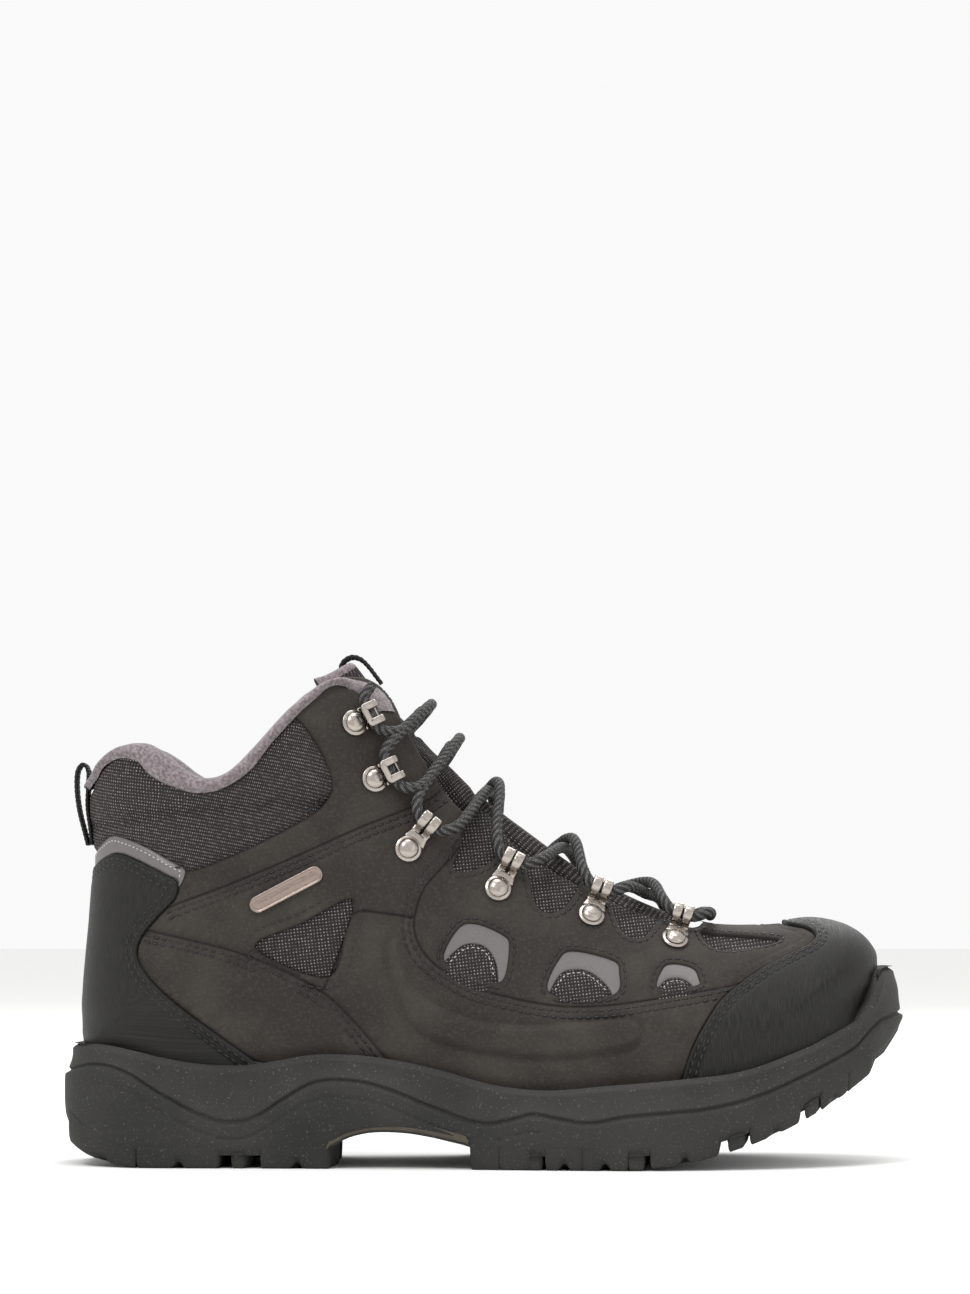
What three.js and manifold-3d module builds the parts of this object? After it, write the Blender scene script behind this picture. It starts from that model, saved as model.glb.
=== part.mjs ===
// A mid-cut hiking boot for the right foot, built as its shoemaker builds it: a moulded outsole
// and midsole, a lasted upper of separate panels, lining, tongue, insoles, metal lace holders and a lace.
// Millimetres. +X points to the toe, +Y to the inner (medial) side, +Z up; the ground is z = 0.
import * as THREE from "three";
import { mergeVertices } from "three/addons/utils/BufferGeometryUtils.js";
import Module from "manifold-3d";

const wasm = await Module();
wasm.setup();

// ---------------------------------------------------------------- driving dimensions

// The last and the sole lengthened or widened about the middle, as from one last to the next. The metal
// and the lace keep their sizes.
const FIT = { length: 1, width: 1 };
const GAP = 0.3; // clearance that separate pieces keep where they touch
const KNIFE = 0.5; // width of the cut between neighbouring panels of one layer

// The last, as stations from the toe tip to the top of the shaft. Each is one straight line in side
// view, from a point on the front or top silhouette to one on the bottom or back.
// [front x, front z, back x, back z, half-width low, half-width high, rounding depth of the front]
const STATIONS = [
  [147.0, 66.0, 145.5, 58.0, 40.0, 40.0, 36],
  [144.5, 78.0, 139.0, 47.0, 40.5, 40.5, 37],
  [136.0, 86.3, 130.0, 40.0, 41.5, 41.0, 38],
  [122.0, 89.8, 116.0, 33.5, 43.5, 42.5, 42],
  [104.0, 88.0, 98.0, 28.0, 46.5, 45.0, 46],
  [84.0, 88.6, 76.0, 24.0, 49.0, 47.0, 52],
  [62.0, 95.5, 50.0, 22.0, 49.5, 46.0, 60],
  [38.0, 107.5, 22.0, 22.0, 46.5, 43.5, 68],
  [16.0, 123.0, -12.0, 24.0, 40.5, 41.0, 74],
  [-2.0, 137.0, -50.0, 28.0, 35.0, 39.5, 76],
  [-11.5, 148.5, -92.0, 31.0, 32.5, 38.5, 74],
  [-18.0, 155.8, -128.0, 33.0, 32.0, 38.5, 70],
  [-23.6, 162.6, -147.5, 42.0, 32.0, 38.5, 66],
  [-28.4, 168.8, -148.2, 64.0, 33.5, 39.0, 62],
  [-33.2, 175.0, -146.0, 90.0, 35.5, 39.5, 60],
  [-38.0, 181.0, -144.3, 114.0, 37.5, 40.0, 60],
  [-43.0, 187.0, -146.2, 138.0, 39.0, 40.5, 60],
  [-48.0, 193.0, -147.0, 162.0, 40.0, 41.0, 60],
];
const HEEL_STATION = 12; // from here up the rings close at the back of the heel
const TOP_STATION = STATIONS.length - 1;
const HEEL_ROUNDING = { low: 34, high: 54, fromZ: 42, toZ: 135 };
const CENTRE_LINE = [[-150, 0], [-90, -1], [-40, -2.5], [10, -1], [60, 1], [110, 5], [155, 9]];

// Layers of the upper, as heights over the last's surface. Zero is the outside of the leather.
const FOAM_LINE = [[-170, 112], [-140, 118], [-110, 112], [-80, 122], [-58, 136], [-50, 160], [-40, 190]];
const STIFFENER_EDGE = [
  [-170, 100], [-148, 101], [-134, 104], [-121, 98], [-118, 88], [-123, 78], [-118, 66],
  [-96, 50], [-70, 36], [-68, 20],
];
const PUFF_EDGE = [[86, 20], [88, 34], [94, 52], [104, 68], [116, 77.5], [120, 84], [119, 100]];
const LEATHER = { outer: 0, inner: -1.4 };
const OVERLAY_RISE = 0.6; // heel counter and toe cap stand this much proud of the leather
const MESH_OUTER = -0.2;
const REFLECTIVE = { outer: LEATHER.inner - GAP, thickness: 0.5 };
const UNDERLAY = { outer: REFLECTIVE.outer - REFLECTIVE.thickness - GAP, thickness: 1.0 };
const STIFFENER = { outer: LEATHER.inner - GAP, inner: -3.5 };
const LINING = { outer: STIFFENER.inner - GAP, thickness: 1.8, collarExtra: 4 };
const THROAT_DEPTH = 15.5; // the lining and padding stop this far below the ridge
const COLLAR_FROM = { low: 104, high: 122 }; // the collar's padding starts between these heights
const TONGUE = {
  crown: { low: -1.0, high: -3.4, fromZ: 132, toZ: 158 }, // height of its outer face along the ridge
  shoulder: [0.3, 1.6], // distances from the ridge between which it steps down
  thickness: 5,
  spread: 25, // how far below the ridge its edges reach
  frontX: 74,
  top: [[-90, 168], [-47, 181.4], [-20, 194], [100, 240]],
};

// The sole: plan outline, and its heights along the boot.
const SOLE_PLAN = [
  [-155, 0], [-147.5, -24], [-126, -37.5], [-90, -40], [-50, -42.5], [-10, -47], [28, -53], [62, -55.5],
  [95, -50], [124, -37.5], [145, -18], [155, 8], [149, 32], [128, 47], [98, 55], [62, 55.5], [28, 51.5],
  [-10, 44.5], [-50, 39.5], [-90, 37.5], [-126, 36.5], [-147.5, 24],
];
const SOLE_RIM = [
  [-160, 44], [-143, 44.5], [-132, 43], [-118, 40], [-103, 37.6], [-88, 37.2], [-76, 38.8], [-63, 41],
  [-53, 41.2], [-38, 40], [-18, 36], [3, 30.4], [22, 28.6], [43, 30.3], [71, 32.6], [94, 35.6], [119, 44],
  [138, 53], [144, 61], [149, 71.5], [160, 72],
];
const WAVE_LINE = [
  [-160, 33], [-144, 37], [-132, 35], [-118, 27], [-102, 19], [-93, 16.8], [-84, 18.2], [-73, 25],
  [-63, 30.6], [-53, 32], [-38, 29.6], [-18, 22], [-1, 16.6], [10, 18.2], [17, 20], [27, 18.3], [37, 16.9],
  [50, 19.2], [68, 20.8], [81, 22.2], [100, 27], [119, 35], [135, 43], [146, 53], [160, 56],
];
const ROOT_LINE = [
  [-160, 20], [-152, 12], [-145, 6.2], [-135, 5], [-62, 5], [-56, 7.5], [-50, 11], [-42, 13], [-32, 13.2],
  [-22, 12], [-8, 9], [0, 6.5], [14, 5.2], [56, 5.4], [72, 7.4], [84, 10], [96, 14], [110, 19.5],
  [124, 27], [137, 35], [147, 41], [153, 48], [160, 54],
];
const TREAD_LINE = [
  [-160, 12], [-152, 8], [-146, 4.6], [-139, 2.2], [-131, 0.6], [-126, 0], [50, 0], [60, 0.8],
  [75, 3], [88, 6.6], [100, 10.6], [113, 16.4], [127, 24], [140, 33], [150, 42], [160, 52],
];
const TRAY_WALL = 5.5; // thickness of the outsole's wall around the midsole
const TRAY_FLOOR = 3; // thickness of the outsole under the midsole
const FLOOR_GAP = 0.4; // under the board, to the midsole

const BOARD_THICKNESS = 2;
const FOOTBED_THICKNESS = 4;
const FOOTBED_PLAN = [
  [150, 54], [20, 44], [-40, 30], [-95, 23], [-118, 16.5], [-129, 9], [-133.5, 0], [-129, -11],
  [-118, -19], [-95, -25.5], [-40, -34], [20, -45], [150, -50],
];
const FOOTBED_CLEARANCE = 3.4; // all round a loose footbed
const ARCH_PLATE = [
  [-57.6, 0], [-56.8, 9], [-52, 14.5], [-45, 17.8], [-34, 17.8], [-20, 14.8], [-7, 11.4], [-5.6, 0],
];
// Tread blocks along each edge and, a half step back, down the middle: [from x, to x].
const EDGE_LUGS = [
  [-152, -127], [-125.5, -97], [-80.5, -58], [-4.6, 5], [5.8, 16], [22.4, 34.6], [35.4, 50.8],
  [60, 83.4], [96, 113], [122, 131.2], [132, 140.5],
];
const CENTRE_LUGS = [
  [-141, -120], [-112, -92], [-76, -62], [2, 14], [22, 34], [43, 56], [66, 80], [90, 102], [112, 122],
];
const NUBS = [[-91, -87.7], [15.9, 19.8], [52, 56.4], [88, 92.6], [116.2, 119.8]];
const EDGE_LUG_INNER = 13; // how near the middle line an edge block reaches
const NUB_INNER = 30;
const CENTRE_LUG_WIDTH = 17;
const LUG_SLANT = 3; // how far a block's inner end leans towards the toe

// ---------------------------------------------------------------- seams, as side-view lines [x, z]

const COLLAR_LINE = [
  [-170, 139], [-147, 139.5], [-143.5, 143.5], [-141, 148], [-136.5, 152], [-131, 154.2], [-124, 153.6],
  [-117.5, 150.2], [-111, 145.4], [-104, 141.6], [-97, 141.6], [-90.5, 145.6], [-84, 152], [-77, 160],
  [-69, 168.4], [-61, 175], [-53, 178.6], [-45, 179], [-40.5, 177.6], [-36.6, 174.6], [-33.2, 170.2],
  [-31.2, 166],
];
const EYESTAY_EDGE = [
  [-29.5, 161.5], [-25.5, 154.5], [-20, 145], [-13, 135.2], [-5, 127.2], [7, 118], [21, 109.4],
  [37, 102.6], [53, 96], [67, 90], [76, 87.4], [81.5, 90.5], [82, 110],
];
const RIM_LINE = [
  [-170, 136], [-148, 136.5], [-143.4, 141.5], [-139.5, 146.5], [-134, 149.8], [-128, 148.2],
  [-123.6, 143.8], [-116.3, 139.6], [-105.9, 136.6], [-95.5, 138.6], [-86.1, 143.8], [-79.8, 152.2],
  [-73.6, 159.4], [-69.4, 164.1], [-63, 170.2], [-58, 174.8], [-54, 181],
];
const COUNTER_EDGE = [
  [-170, 106], [-147, 107.5], [-144, 109.2], [-140.8, 112], [-134.6, 114.1],
  [-126.7, 111.5], [-116.3, 106.3],
  [-112.1, 104.2], [-111.4, 101], [-113.2, 96.9], [-119.4, 90.7], [-124.6, 84.4], [-126.7, 79.2],
  [-125.7, 74], [-121.5, 67.8], [-111.1, 58.4], [-95.5, 46.9], [-84, 38.6], [-76, 32], [-68, 20],
];
const TRIM_EDGE = [
  [-170, 112], [-147, 113.5], [-142.3, 116.9], [-137.2, 120.4], [-131.9, 119.5], [-123.6, 116.2],
  [-113.2, 110.6], [-109, 108], [-110.4, 103], [-115, 99],
];
const MESH_EDGE = [
  [-113, 107], [-107.5, 107.6], [-99.7, 109.8], [-85, 116.2], [-71.5, 123],
  [-61.1, 129.2], [-56.4, 134.4], [-55.4, 139.6],
  [-58, 148], [-64.2, 158.4], [-70.6, 165.4],
];
const ANKLE_SEAM = [
  [-119, 92.8], [-113.2, 95.2], [-92, 103], [-69.4, 112.5], [-45, 123.5],
  [-23.6, 132.3], [-16, 137.5], [-8, 146],
];
const EYESTAY_SEAM = [
  [0, 132], [-5, 127], [-6.5, 121], [-9, 117], [-14.2, 110.5], [-21.5, 102.1], [-24.6, 94.8],
  [-25.7, 87.5], [-23.6, 80.2], [-18.4, 74], [-6.9, 66.7], [4.6, 63], [24.7, 59.1], [43.6, 59.1],
  [62.4, 61.6], [84, 65.2], [94, 67.6],
];
const REAR_SEAM = [
  [-126, 86.8], [-105, 82], [-90.3, 78.2], [-74.6, 71.9], [-59, 63.6], [-48.6, 54.2], [-37.1, 40.7],
  [-31, 31], [-28, 20],
];
const WINDOW_TRIANGLE = [[-83.4, 79.8], [-66, 88.8], [-51, 97], [-47.4, 95.4], [-50.4, 85.4], [-57.4, 69]];
const SIDE_SEAM = [[-63, 58], [-58, 66], [-51, 84], [-46.6, 92.6], [-36, 92.2], [-24.8, 90.6], [-18, 90]];
const TOE_EDGE = [
  [68, 20], [71.2, 32.7], [74.9, 44], [81.2, 55.3], [87.5, 62.9], [100, 71.7], [112.6, 77.9],
  [119.5, 81.3], [121.5, 84], [118.5, 86.8], [109.5, 89.6], [107, 100],
];
const WINDOWS = [
  [[-14.8, 75.4], [-9.8, 86.6], [-3.5, 88.6], [6.4, 84.6], [8.7, 80.5], [5.9, 67.9], [-4, 70.2]],
  [[23.5, 63.8], [27.4, 76.6], [33.5, 78.8], [46.4, 75.6], [48.6, 71.7], [46.1, 63.2]],
  [[63, 65.4], [64.6, 72.6], [68.6, 74.4], [75.6, 72.8], [77.5, 69.1], [76.8, 66.6]],
];
const SCALLOPS = [
  [[-9, 116], [-11.5, 110], [-9, 107.4], [-0.4, 109.8], [4.6, 115], [3.6, 126], [-4, 133]],
  [[15, 118], [16.4, 104], [18.4, 96], [23.5, 92.6], [30.4, 96.4], [35, 108]],
  [[45, 104], [47.6, 92], [50.4, 85.6], [56.1, 83.4], [61, 87], [66, 96]],
  [[79.5, 86.2], [81.5, 81.6], [88, 79.2], [100, 80.6], [107, 82.4], [107.4, 83.4], [98, 84.4], [84, 85.4]],
];

// ---------------------------------------------------------------- hardware

// Rivet places on the outer side, and the direction towards the lace, in side view. Bottom loop first.
const LOOPS = [
  { at: [69.2, 82.6], towards: [73.6, 92.6] },
  { at: [38.6, 91.4], towards: [43.0, 102.6] },
  { at: [4.6, 101.2], towards: [10.6, 112.8] },
  { at: [-28.0, 115.6], towards: [-20.4, 125.4] },
];
const HOOKS = [
  { at: [-40.2, 141.0], towards: [-31.0, 145.6] },
  { at: [-47.7, 161.4], towards: [-38.4, 166.0] },
];
const PLATE = { radius: 4.9, thickness: 0.9, tipHalfWidth: 3.4 };
const RIVET = { headRadius: 3.8, headHeight: 1.9, shankRadius: 1.5, hole: 1.9, depth: 1.2 };
const EYE = { reach: 11.5, inner: 2.65, wall: PLATE.thickness, slit: 1.1 };
const HOOK = { reach: 9.5, headReach: 7.6, gap: 4.9, halfWidth: 4.6 };
const LACE_DIAMETER = 4.2;
const LACE = {
  lowCrossing: 2.8, // height of the lower and the upper strand's centre over the ridge
  highCrossing: 7.2,
  ridgeShift: 0,
  barShift: -0.45,
  hookSlack: 0.4,
  ankleward: 1,
  steps: 190,
};
const SIDE_BAND = [
  [-33.2, 83], [-35.6, 79.2], [-34.4, 70], [-30.4, 59], [-24, 49.6], [-6.6, 43.4], [18.5, 40.5],
  [37.3, 41.3], [52, 44.2], [56, 48.4], [53.6, 53.4], [43.6, 53.8], [18.5, 51.6], [-0.4, 52.8],
  [-12, 56.4], [-20.5, 60.4], [-27.4, 67.4], [-30.4, 79], [-31.6, 82.4],
];
const BAND_RISE = 0.7;
const UNDERLAY_OUTLINE = [
  [-21, 106], [-10, 122], [-2, 127], [14, 112], [40, 98.4], [62, 89], [84, 83], [104, 84.2], [110, 81],
  [98, 74], [84, 64], [60, 57], [24, 54.6], [-6, 60], [-20, 72], [-23, 88],
];
const STRIP_OUTLINE = [
  [-19, 84], [-10, 91.4], [4, 90], [20, 81], [34, 83.4], [52, 79], [66, 78.6], [80, 76], [84, 70],
  [76, 61], [40, 58.4], [10, 61], [-10, 68],
];
const DOMES = [
  [[-19, 70], [-10, 78.6], [-3.6, 80.6], [1.6, 78], [4.4, 71], [3, 62], [-8, 63]],
  [[22, 62], [27, 70.4], [33.6, 72.6], [40, 70.4], [45.6, 64], [43, 58], [26, 59]],
  [[61, 64], [65.4, 69.4], [70, 70.4], [74, 69], [76.6, 65], [75, 60], [62, 61]],
];
const BADGE = {
  at: [-84, 94.4],
  towards: [-63.7, 105.2],
  length: 23,
  width: 6.2,
  thickness: 0.9,
  lift: 0.6,
};

const HEEL_LOOP = { width: 12, thickness: 1.2, path: [
  [-145.4, 117.5], [-146.2, 124], [-147.2, 132], [-146.9, 140], [-147.0, 145], [-148.8, 147.4],
  [-150.9, 144.6], [-151.2, 138], [-150.2, 130], [-148.2, 122], [-147.0, 117.4],
] };
const TONGUE_LOOP = { width: 16, thickness: 1.4, path: [
  [-38.4, 177.3], [-40.6, 180.2], [-43, 183.3], [-45.8, 186], [-49, 186.9], [-51.8, 185.6],
  [-53.2, 183.4], [-53.4, 181.4],
] };

const VAMP_LINING_SEAM = [[-32, -20], [-30, 40], [-20, 90], [10, 150]]; // between rear and front lining

// The overall fit, applied to every outline.
const sideLines = [
  FOAM_LINE, STIFFENER_EDGE, PUFF_EDGE, TONGUE.top, SOLE_RIM, WAVE_LINE, ROOT_LINE, TREAD_LINE, ARCH_PLATE,
  COLLAR_LINE, EYESTAY_EDGE, RIM_LINE, COUNTER_EDGE, TRIM_EDGE, MESH_EDGE, ANKLE_SEAM, EYESTAY_SEAM,
  REAR_SEAM, WINDOW_TRIANGLE, SIDE_SEAM, TOE_EDGE, SIDE_BAND, UNDERLAY_OUTLINE, STRIP_OUTLINE,
  VAMP_LINING_SEAM, HEEL_LOOP.path, TONGUE_LOOP.path, CENTRE_LINE, STATIONS, SOLE_PLAN, FOOTBED_PLAN,
  ...WINDOWS, ...SCALLOPS, ...DOMES, EDGE_LUGS, CENTRE_LUGS, NUBS,
];
for (const row of sideLines.flat()) row[0] *= FIT.length;
for (const row of [...EDGE_LUGS, ...CENTRE_LUGS, ...NUBS]) row[1] *= FIT.length;
for (const row of [...SOLE_PLAN, ...FOOTBED_PLAN]) row[1] *= FIT.width;
for (const row of STATIONS) {
  row[2] *= FIT.length;
  row[4] *= FIT.width;
  row[5] *= FIT.width;
}
for (const { at, towards } of [...LOOPS, ...HOOKS, BADGE]) {
  at[0] *= FIT.length;
  towards[0] *= FIT.length;
}
TONGUE.frontX *= FIT.length;

// ---------------------------------------------------------------- small helpers

const clamp01 = (t) => Math.min(1, Math.max(0, t));
const lerp = (a, b, t) => a + (b - a) * t;
const smoothstep = (a, b, v) => {
  const t = clamp01((v - a) / (b - a));
  return t * t * (3 - 2 * t);
};

// A smooth line through the points, as Vector2 samples.
function spline(points, perSpan = 1) {
  const curve = new THREE.SplineCurve(points.map(([x, y]) => new THREE.Vector2(x, y)));
  return curve.getPoints((points.length - 1) * perSpan);
}

// The height of a line given as [x, z] points, at x.
function heightAt(points, x) {
  const last = points.length - 1;
  if (x <= points[0][0]) return points[0][1];
  if (x >= points[last][0]) return points[last][1];
  const i = points.findIndex((p) => p[0] > x) - 1;
  const t = (x - points[i][0]) / (points[i + 1][0] - points[i][0]);
  const at = (k) => points[Math.min(last, Math.max(0, k))][1];
  const [p0, p1, p2, p3] = [at(i - 1), at(i), at(i + 1), at(i + 2)];
  return (
    p1 + 0.5 * t * (p2 - p0 + t * (2 * p0 - 5 * p1 + 4 * p2 - p3 + t * (3 * (p1 - p2) + p3 - p0)))
  );
}

const centreAt = (x) => heightAt(CENTRE_LINE, x);

function solidOf(geometry) {
  const bare = new THREE.BufferGeometry();
  const source = geometry.index ? geometry.toNonIndexed() : geometry;
  bare.setAttribute("position", source.getAttribute("position").clone());
  const merged = mergeVertices(bare, 1e-4);
  const made = new wasm.Manifold(
    new wasm.Mesh({
      numProp: 3,
      vertProperties: new Float32Array(merged.attributes.position.array),
      triVerts: new Uint32Array(merged.index.array),
    }),
  );
  return made;
}

function geometryOf(solid) {
  const mesh = solid.getMesh();
  const geometry = new THREE.BufferGeometry();
  const places = new Float32Array(mesh.numVert * 3);
  for (let i = 0; i < mesh.numVert; i++)
    places.set(mesh.vertProperties.subarray(i * mesh.numProp, i * mesh.numProp + 3), i * 3);
  geometry.setAttribute("position", new THREE.BufferAttribute(places, 3));
  geometry.setIndex(new THREE.BufferAttribute(new Uint32Array(mesh.triVerts), 1));
  return geometry;
}

// Triangles given as corner vectors, made into a solid.
function solidFrom(triangles) {
  const kept = triangles.filter(([a, b, c]) => {
    const area = new THREE.Vector3().subVectors(b, a).cross(new THREE.Vector3().subVectors(c, a));
    return area.length() > 1e-7;
  });
  const geometry = new THREE.BufferGeometry().setFromPoints(kept.flat());
  return solidOf(geometry);
}

const SIDE_REACH = 90; // prisms reach this far to each side

// A side-view outline, extruded across the boot.
function prism(points, fromY = -SIDE_REACH, toY = SIDE_REACH) {
  const shape = new THREE.Shape(points.map((p) => new THREE.Vector2(p.x ?? p[0], p.y ?? p[1])));
  const geometry = new THREE.ExtrudeGeometry(shape, { depth: toY - fromY, bevelEnabled: false });
  geometry.rotateX(Math.PI / 2);
  geometry.translate(0, toY, 0);
  return solidOf(geometry);
}

// A plan outline, extruded upwards.
function column(points, fromZ, toZ) {
  const shape = new THREE.Shape(points.map((p) => new THREE.Vector2(p.x ?? p[0], p.y ?? p[1])));
  const geometry = new THREE.ExtrudeGeometry(shape, { depth: toZ - fromZ, bevelEnabled: false });
  geometry.translate(0, 0, fromZ);
  return solidOf(geometry);
}

// The line moved sideways by a distance, to its left if positive.
function offsetLine(points, distance, closed = false) {
  const n = points.length;
  return points.map((p, i) => {
    const before = points[closed ? (i + n - 1) % n : Math.max(0, i - 1)];
    const after = points[closed ? (i + 1) % n : Math.min(n - 1, i + 1)];
    const along = new THREE.Vector2(after.x - before.x, after.y - before.y).normalize();
    return new THREE.Vector2(p.x - along.y * distance, p.y + along.x * distance);
  });
}

// A thin cut along a seam.
function knife(points, width = KNIFE) {
  const line = spline(points);
  const left = offsetLine(line, width / 2);
  const right = offsetLine(line, -width / 2).reverse();
  return prism([...left, ...right]);
}

const BELOW = -40; // outlines close this far under the ground
const ABOVE = 260; // and this high over it

// Everything under a side-view line, moved up by rise.
function under(points, rise = 0) {
  const line = spline(points).map((p) => new THREE.Vector2(p.x, p.y + rise));
  return prism([new THREE.Vector2(line[0].x, BELOW), ...line, new THREE.Vector2(line.at(-1).x, BELOW)]);
}

function above(points, rise = 0) {
  const line = spline(points).map((p) => new THREE.Vector2(p.x, p.y + rise));
  return prism([new THREE.Vector2(line[0].x, ABOVE), ...line, new THREE.Vector2(line.at(-1).x, ABOVE)]);
}

// ---------------------------------------------------------------- the last's surface

const columnOf = (k) => STATIONS.map((row) => row[k]);
const interpolators = STATIONS[0].map((_, k) => {
  const values = columnOf(k).map((v, i) => [i, v]);
  return (s) => heightAt(values, s);
});
const frontPoint = (s) => new THREE.Vector2(interpolators[0](s), interpolators[1](s));
const backPoint = (s) => new THREE.Vector2(interpolators[2](s), interpolators[3](s));

const SILHOUETTE_STEPS = 6; // samples of each silhouette between two stations
const silhouette = (point, from) => {
  const count = (TOP_STATION - from) * SILHOUETTE_STEPS;
  return Array.from({ length: count + 1 }, (_, i) => point(from + i / SILHOUETTE_STEPS));
};
const frontSilhouette = [backPoint(0), ...silhouette(frontPoint, 0)];
const backSilhouette = silhouette(backPoint, HEEL_STATION);

function distanceTo(line, x, z) {
  let best = Infinity;
  for (let i = 0; i + 1 < line.length; i++) {
    const [a, b] = [line[i], line[i + 1]];
    const [dx, dz] = [b.x - a.x, b.y - a.y];
    const t = clamp01(((x - a.x) * dx + (z - a.y) * dz) / (dx * dx + dz * dz));
    best = Math.min(best, Math.hypot(x - a.x - t * dx, z - a.y - t * dz));
  }
  return best;
}

function backX(z) {
  const low = backSilhouette[0];
  if (z <= low.y) return low.x;
  const i = backSilhouette.findIndex((p) => p.y > z);
  if (i < 0) return backSilhouette.at(-1).x;
  const [a, b] = [backSilhouette[i - 1], backSilhouette[i]];
  return lerp(a.x, b.x, (z - a.y) / (b.y - a.y));
}

// A quarter of an ellipse: 0 on the silhouette, 1 once the depth is reached.
const cap = (distance, depth) => Math.sqrt(Math.max(0, 1 - (1 - clamp01(distance / depth)) ** 2));

// Share of the way from the front point to the back point, at ring position f from 0 to 1.
function ringShare(s, f) {
  const closing = smoothstep(HEEL_STATION - 2.5, HEEL_STATION + 0.5, s);
  return lerp(1 - Math.cos((Math.PI / 2) * f), (1 - Math.cos(Math.PI * f)) / 2, closing);
}

// A point on the last before it is bent to the foot's centre line; f < 0 is the outer side.
function lastPoint(s, f) {
  const share = ringShare(s, Math.abs(f));
  const [front, back] = [frontPoint(s), backPoint(s)];
  const x = lerp(front.x, back.x, share);
  const z = lerp(front.y, back.y, share);
  const closed = f === 0 || s === 0 || (s >= HEEL_STATION && Math.abs(f) === 1);
  if (closed) return new THREE.Vector3(x, 0, z);
  const width = lerp(interpolators[5](s), interpolators[4](s), share);
  const { low, high, fromZ, toZ } = HEEL_ROUNDING;
  const heelDepth = lerp(low, high, smoothstep(fromZ, toZ, z));
  const y =
    width *
    cap(distanceTo(frontSilhouette, x, z), interpolators[6](s)) *
    cap(Math.max(0, x - backX(z)), heelDepth);
  return new THREE.Vector3(x, Math.sign(f) * y, z);
}

const STEP = 0.02; // for slopes, in stations and in ring share

function lastNormal(s, f) {
  const flat = (point, at) => {
    const [a, b] = [point(Math.max(0, at - STEP)), point(Math.min(TOP_STATION, at + STEP))];
    return new THREE.Vector3(b.y - a.y, 0, a.x - b.x).normalize();
  };
  if (s === 0) {
    const [a, b] = [backPoint(0), frontPoint(0)];
    return new THREE.Vector3(b.y - a.y, 0, a.x - b.x).normalize();
  }
  if (f === 0) return flat(frontPoint, s);
  if (s >= HEEL_STATION && Math.abs(f) === 1) return flat(backPoint, s).negate();
  const [s0, s1] = [Math.max(STEP / 2, s - STEP), Math.min(TOP_STATION, s + STEP)];
  const side = Math.sign(f);
  const [f0, f1] = [Math.max(STEP / 4, Math.abs(f) - STEP), Math.min(1 - STEP / 4, Math.abs(f) + STEP)];
  const alongS = lastPoint(s1, f).sub(lastPoint(s0, f));
  const alongF = lastPoint(s, side * f1).sub(lastPoint(s, side * f0));
  const normal = alongS.cross(alongF).normalize();
  return normal.y * side < 0 ? normal.negate() : normal;
}

function surfacePoint(s, f, height) {
  const point = lastPoint(s, f);
  const lift = typeof height === "function" ? height(point.x, point.z) : height;
  return point.addScaledVector(lastNormal(s, f), lift);
}

const RINGS = 20; // rings along the last
const AROUND = 14; // steps around each ring

const ringAt = (i) => (TOP_STATION * i) / RINGS;
const shareAt = (j) => (2 * j) / AROUND - 1;

function surfaceGrid(height) {
  return Array.from({ length: RINGS + 1 }, (_, i) => {
    const s = Math.abs(ringAt(i) - HEEL_STATION) < 0.3 ? HEEL_STATION : ringAt(i);
    return Array.from({ length: AROUND + 1 }, (_, j) => surfacePoint(s, shareAt(j), height));
  });
}
const HEEL_RING = Math.round((HEEL_STATION * RINGS) / TOP_STATION);

function quad(a, b, c, d) {
  return [[a, b, c], [a, c, d]];
}

function gridTriangles(grid, outwards) {
  const made = [];
  for (let i = 0; i < RINGS; i++)
    for (let j = 0; j < AROUND; j++) {
      const pair = quad(grid[i][j], grid[i][j + 1], grid[i + 1][j + 1], grid[i + 1][j]);
      made.push(...(outwards ? pair : pair.map((corners) => corners.reverse())));
    }
  return made;
}

// The solid between two heights over the whole last, open at the bottom and the top.
function layer(outer, inner) {
  const [out, into] = [surfaceGrid(outer), surfaceGrid(inner)];
  const made = [...gridTriangles(out, true), ...gridTriangles(into, false)];
  for (let i = 0; i < HEEL_RING; i++) {
    made.push(...quad(out[i][0], out[i + 1][0], into[i + 1][0], into[i][0]));
    made.push(...quad(out[i + 1][AROUND], out[i][AROUND], into[i][AROUND], into[i + 1][AROUND]));
  }
  for (let j = 0; j < AROUND; j++)
    made.push(...quad(out[RINGS][j], out[RINGS][j + 1], into[RINGS][j + 1], into[RINGS][j]));
  return solidFrom(made);
}

// Everything inside the last at one height, closed under the foot and over the shaft.
function filled(height) {
  const grid = surfaceGrid(height);
  const made = gridTriangles(grid, true);
  for (let i = 0; i < HEEL_RING; i++)
    made.push(...quad(grid[i][AROUND], grid[i][0], grid[i + 1][0], grid[i + 1][AROUND]));
  const top = grid[RINGS];
  const middle = top.reduce((sum, p) => sum.add(p), new THREE.Vector3()).divideScalar(top.length);
  for (let j = 0; j < AROUND; j++) made.push([top[j], top[j + 1], middle]);
  return solidFrom(made);
}

// Bends a finished piece of the upper to the foot's centre line.
const toFoot = (solid) =>
  solid.warp((v) => {
    v[1] += centreAt(v[0]);
  });

const half = (side) => {
  const outline = [[-200, BELOW], [200, BELOW], [200, ABOVE], [-200, ABOVE]];
  return side < 0 ? prism(outline, -SIDE_REACH, 0) : prism(outline, 0, SIDE_REACH);
};
const SIDES = { lateral: -1, medial: 1 };

// ---------------------------------------------------------------- places on the last

function solve(value, from, to) {
  let [low, high] = [from, to];
  const rising = value(high) > value(low);
  for (let i = 0; i < 40; i++) {
    const middle = (low + high) / 2;
    if (value(middle) > 0 === rising) high = middle;
    else low = middle;
  }
  return (low + high) / 2;
}

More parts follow.
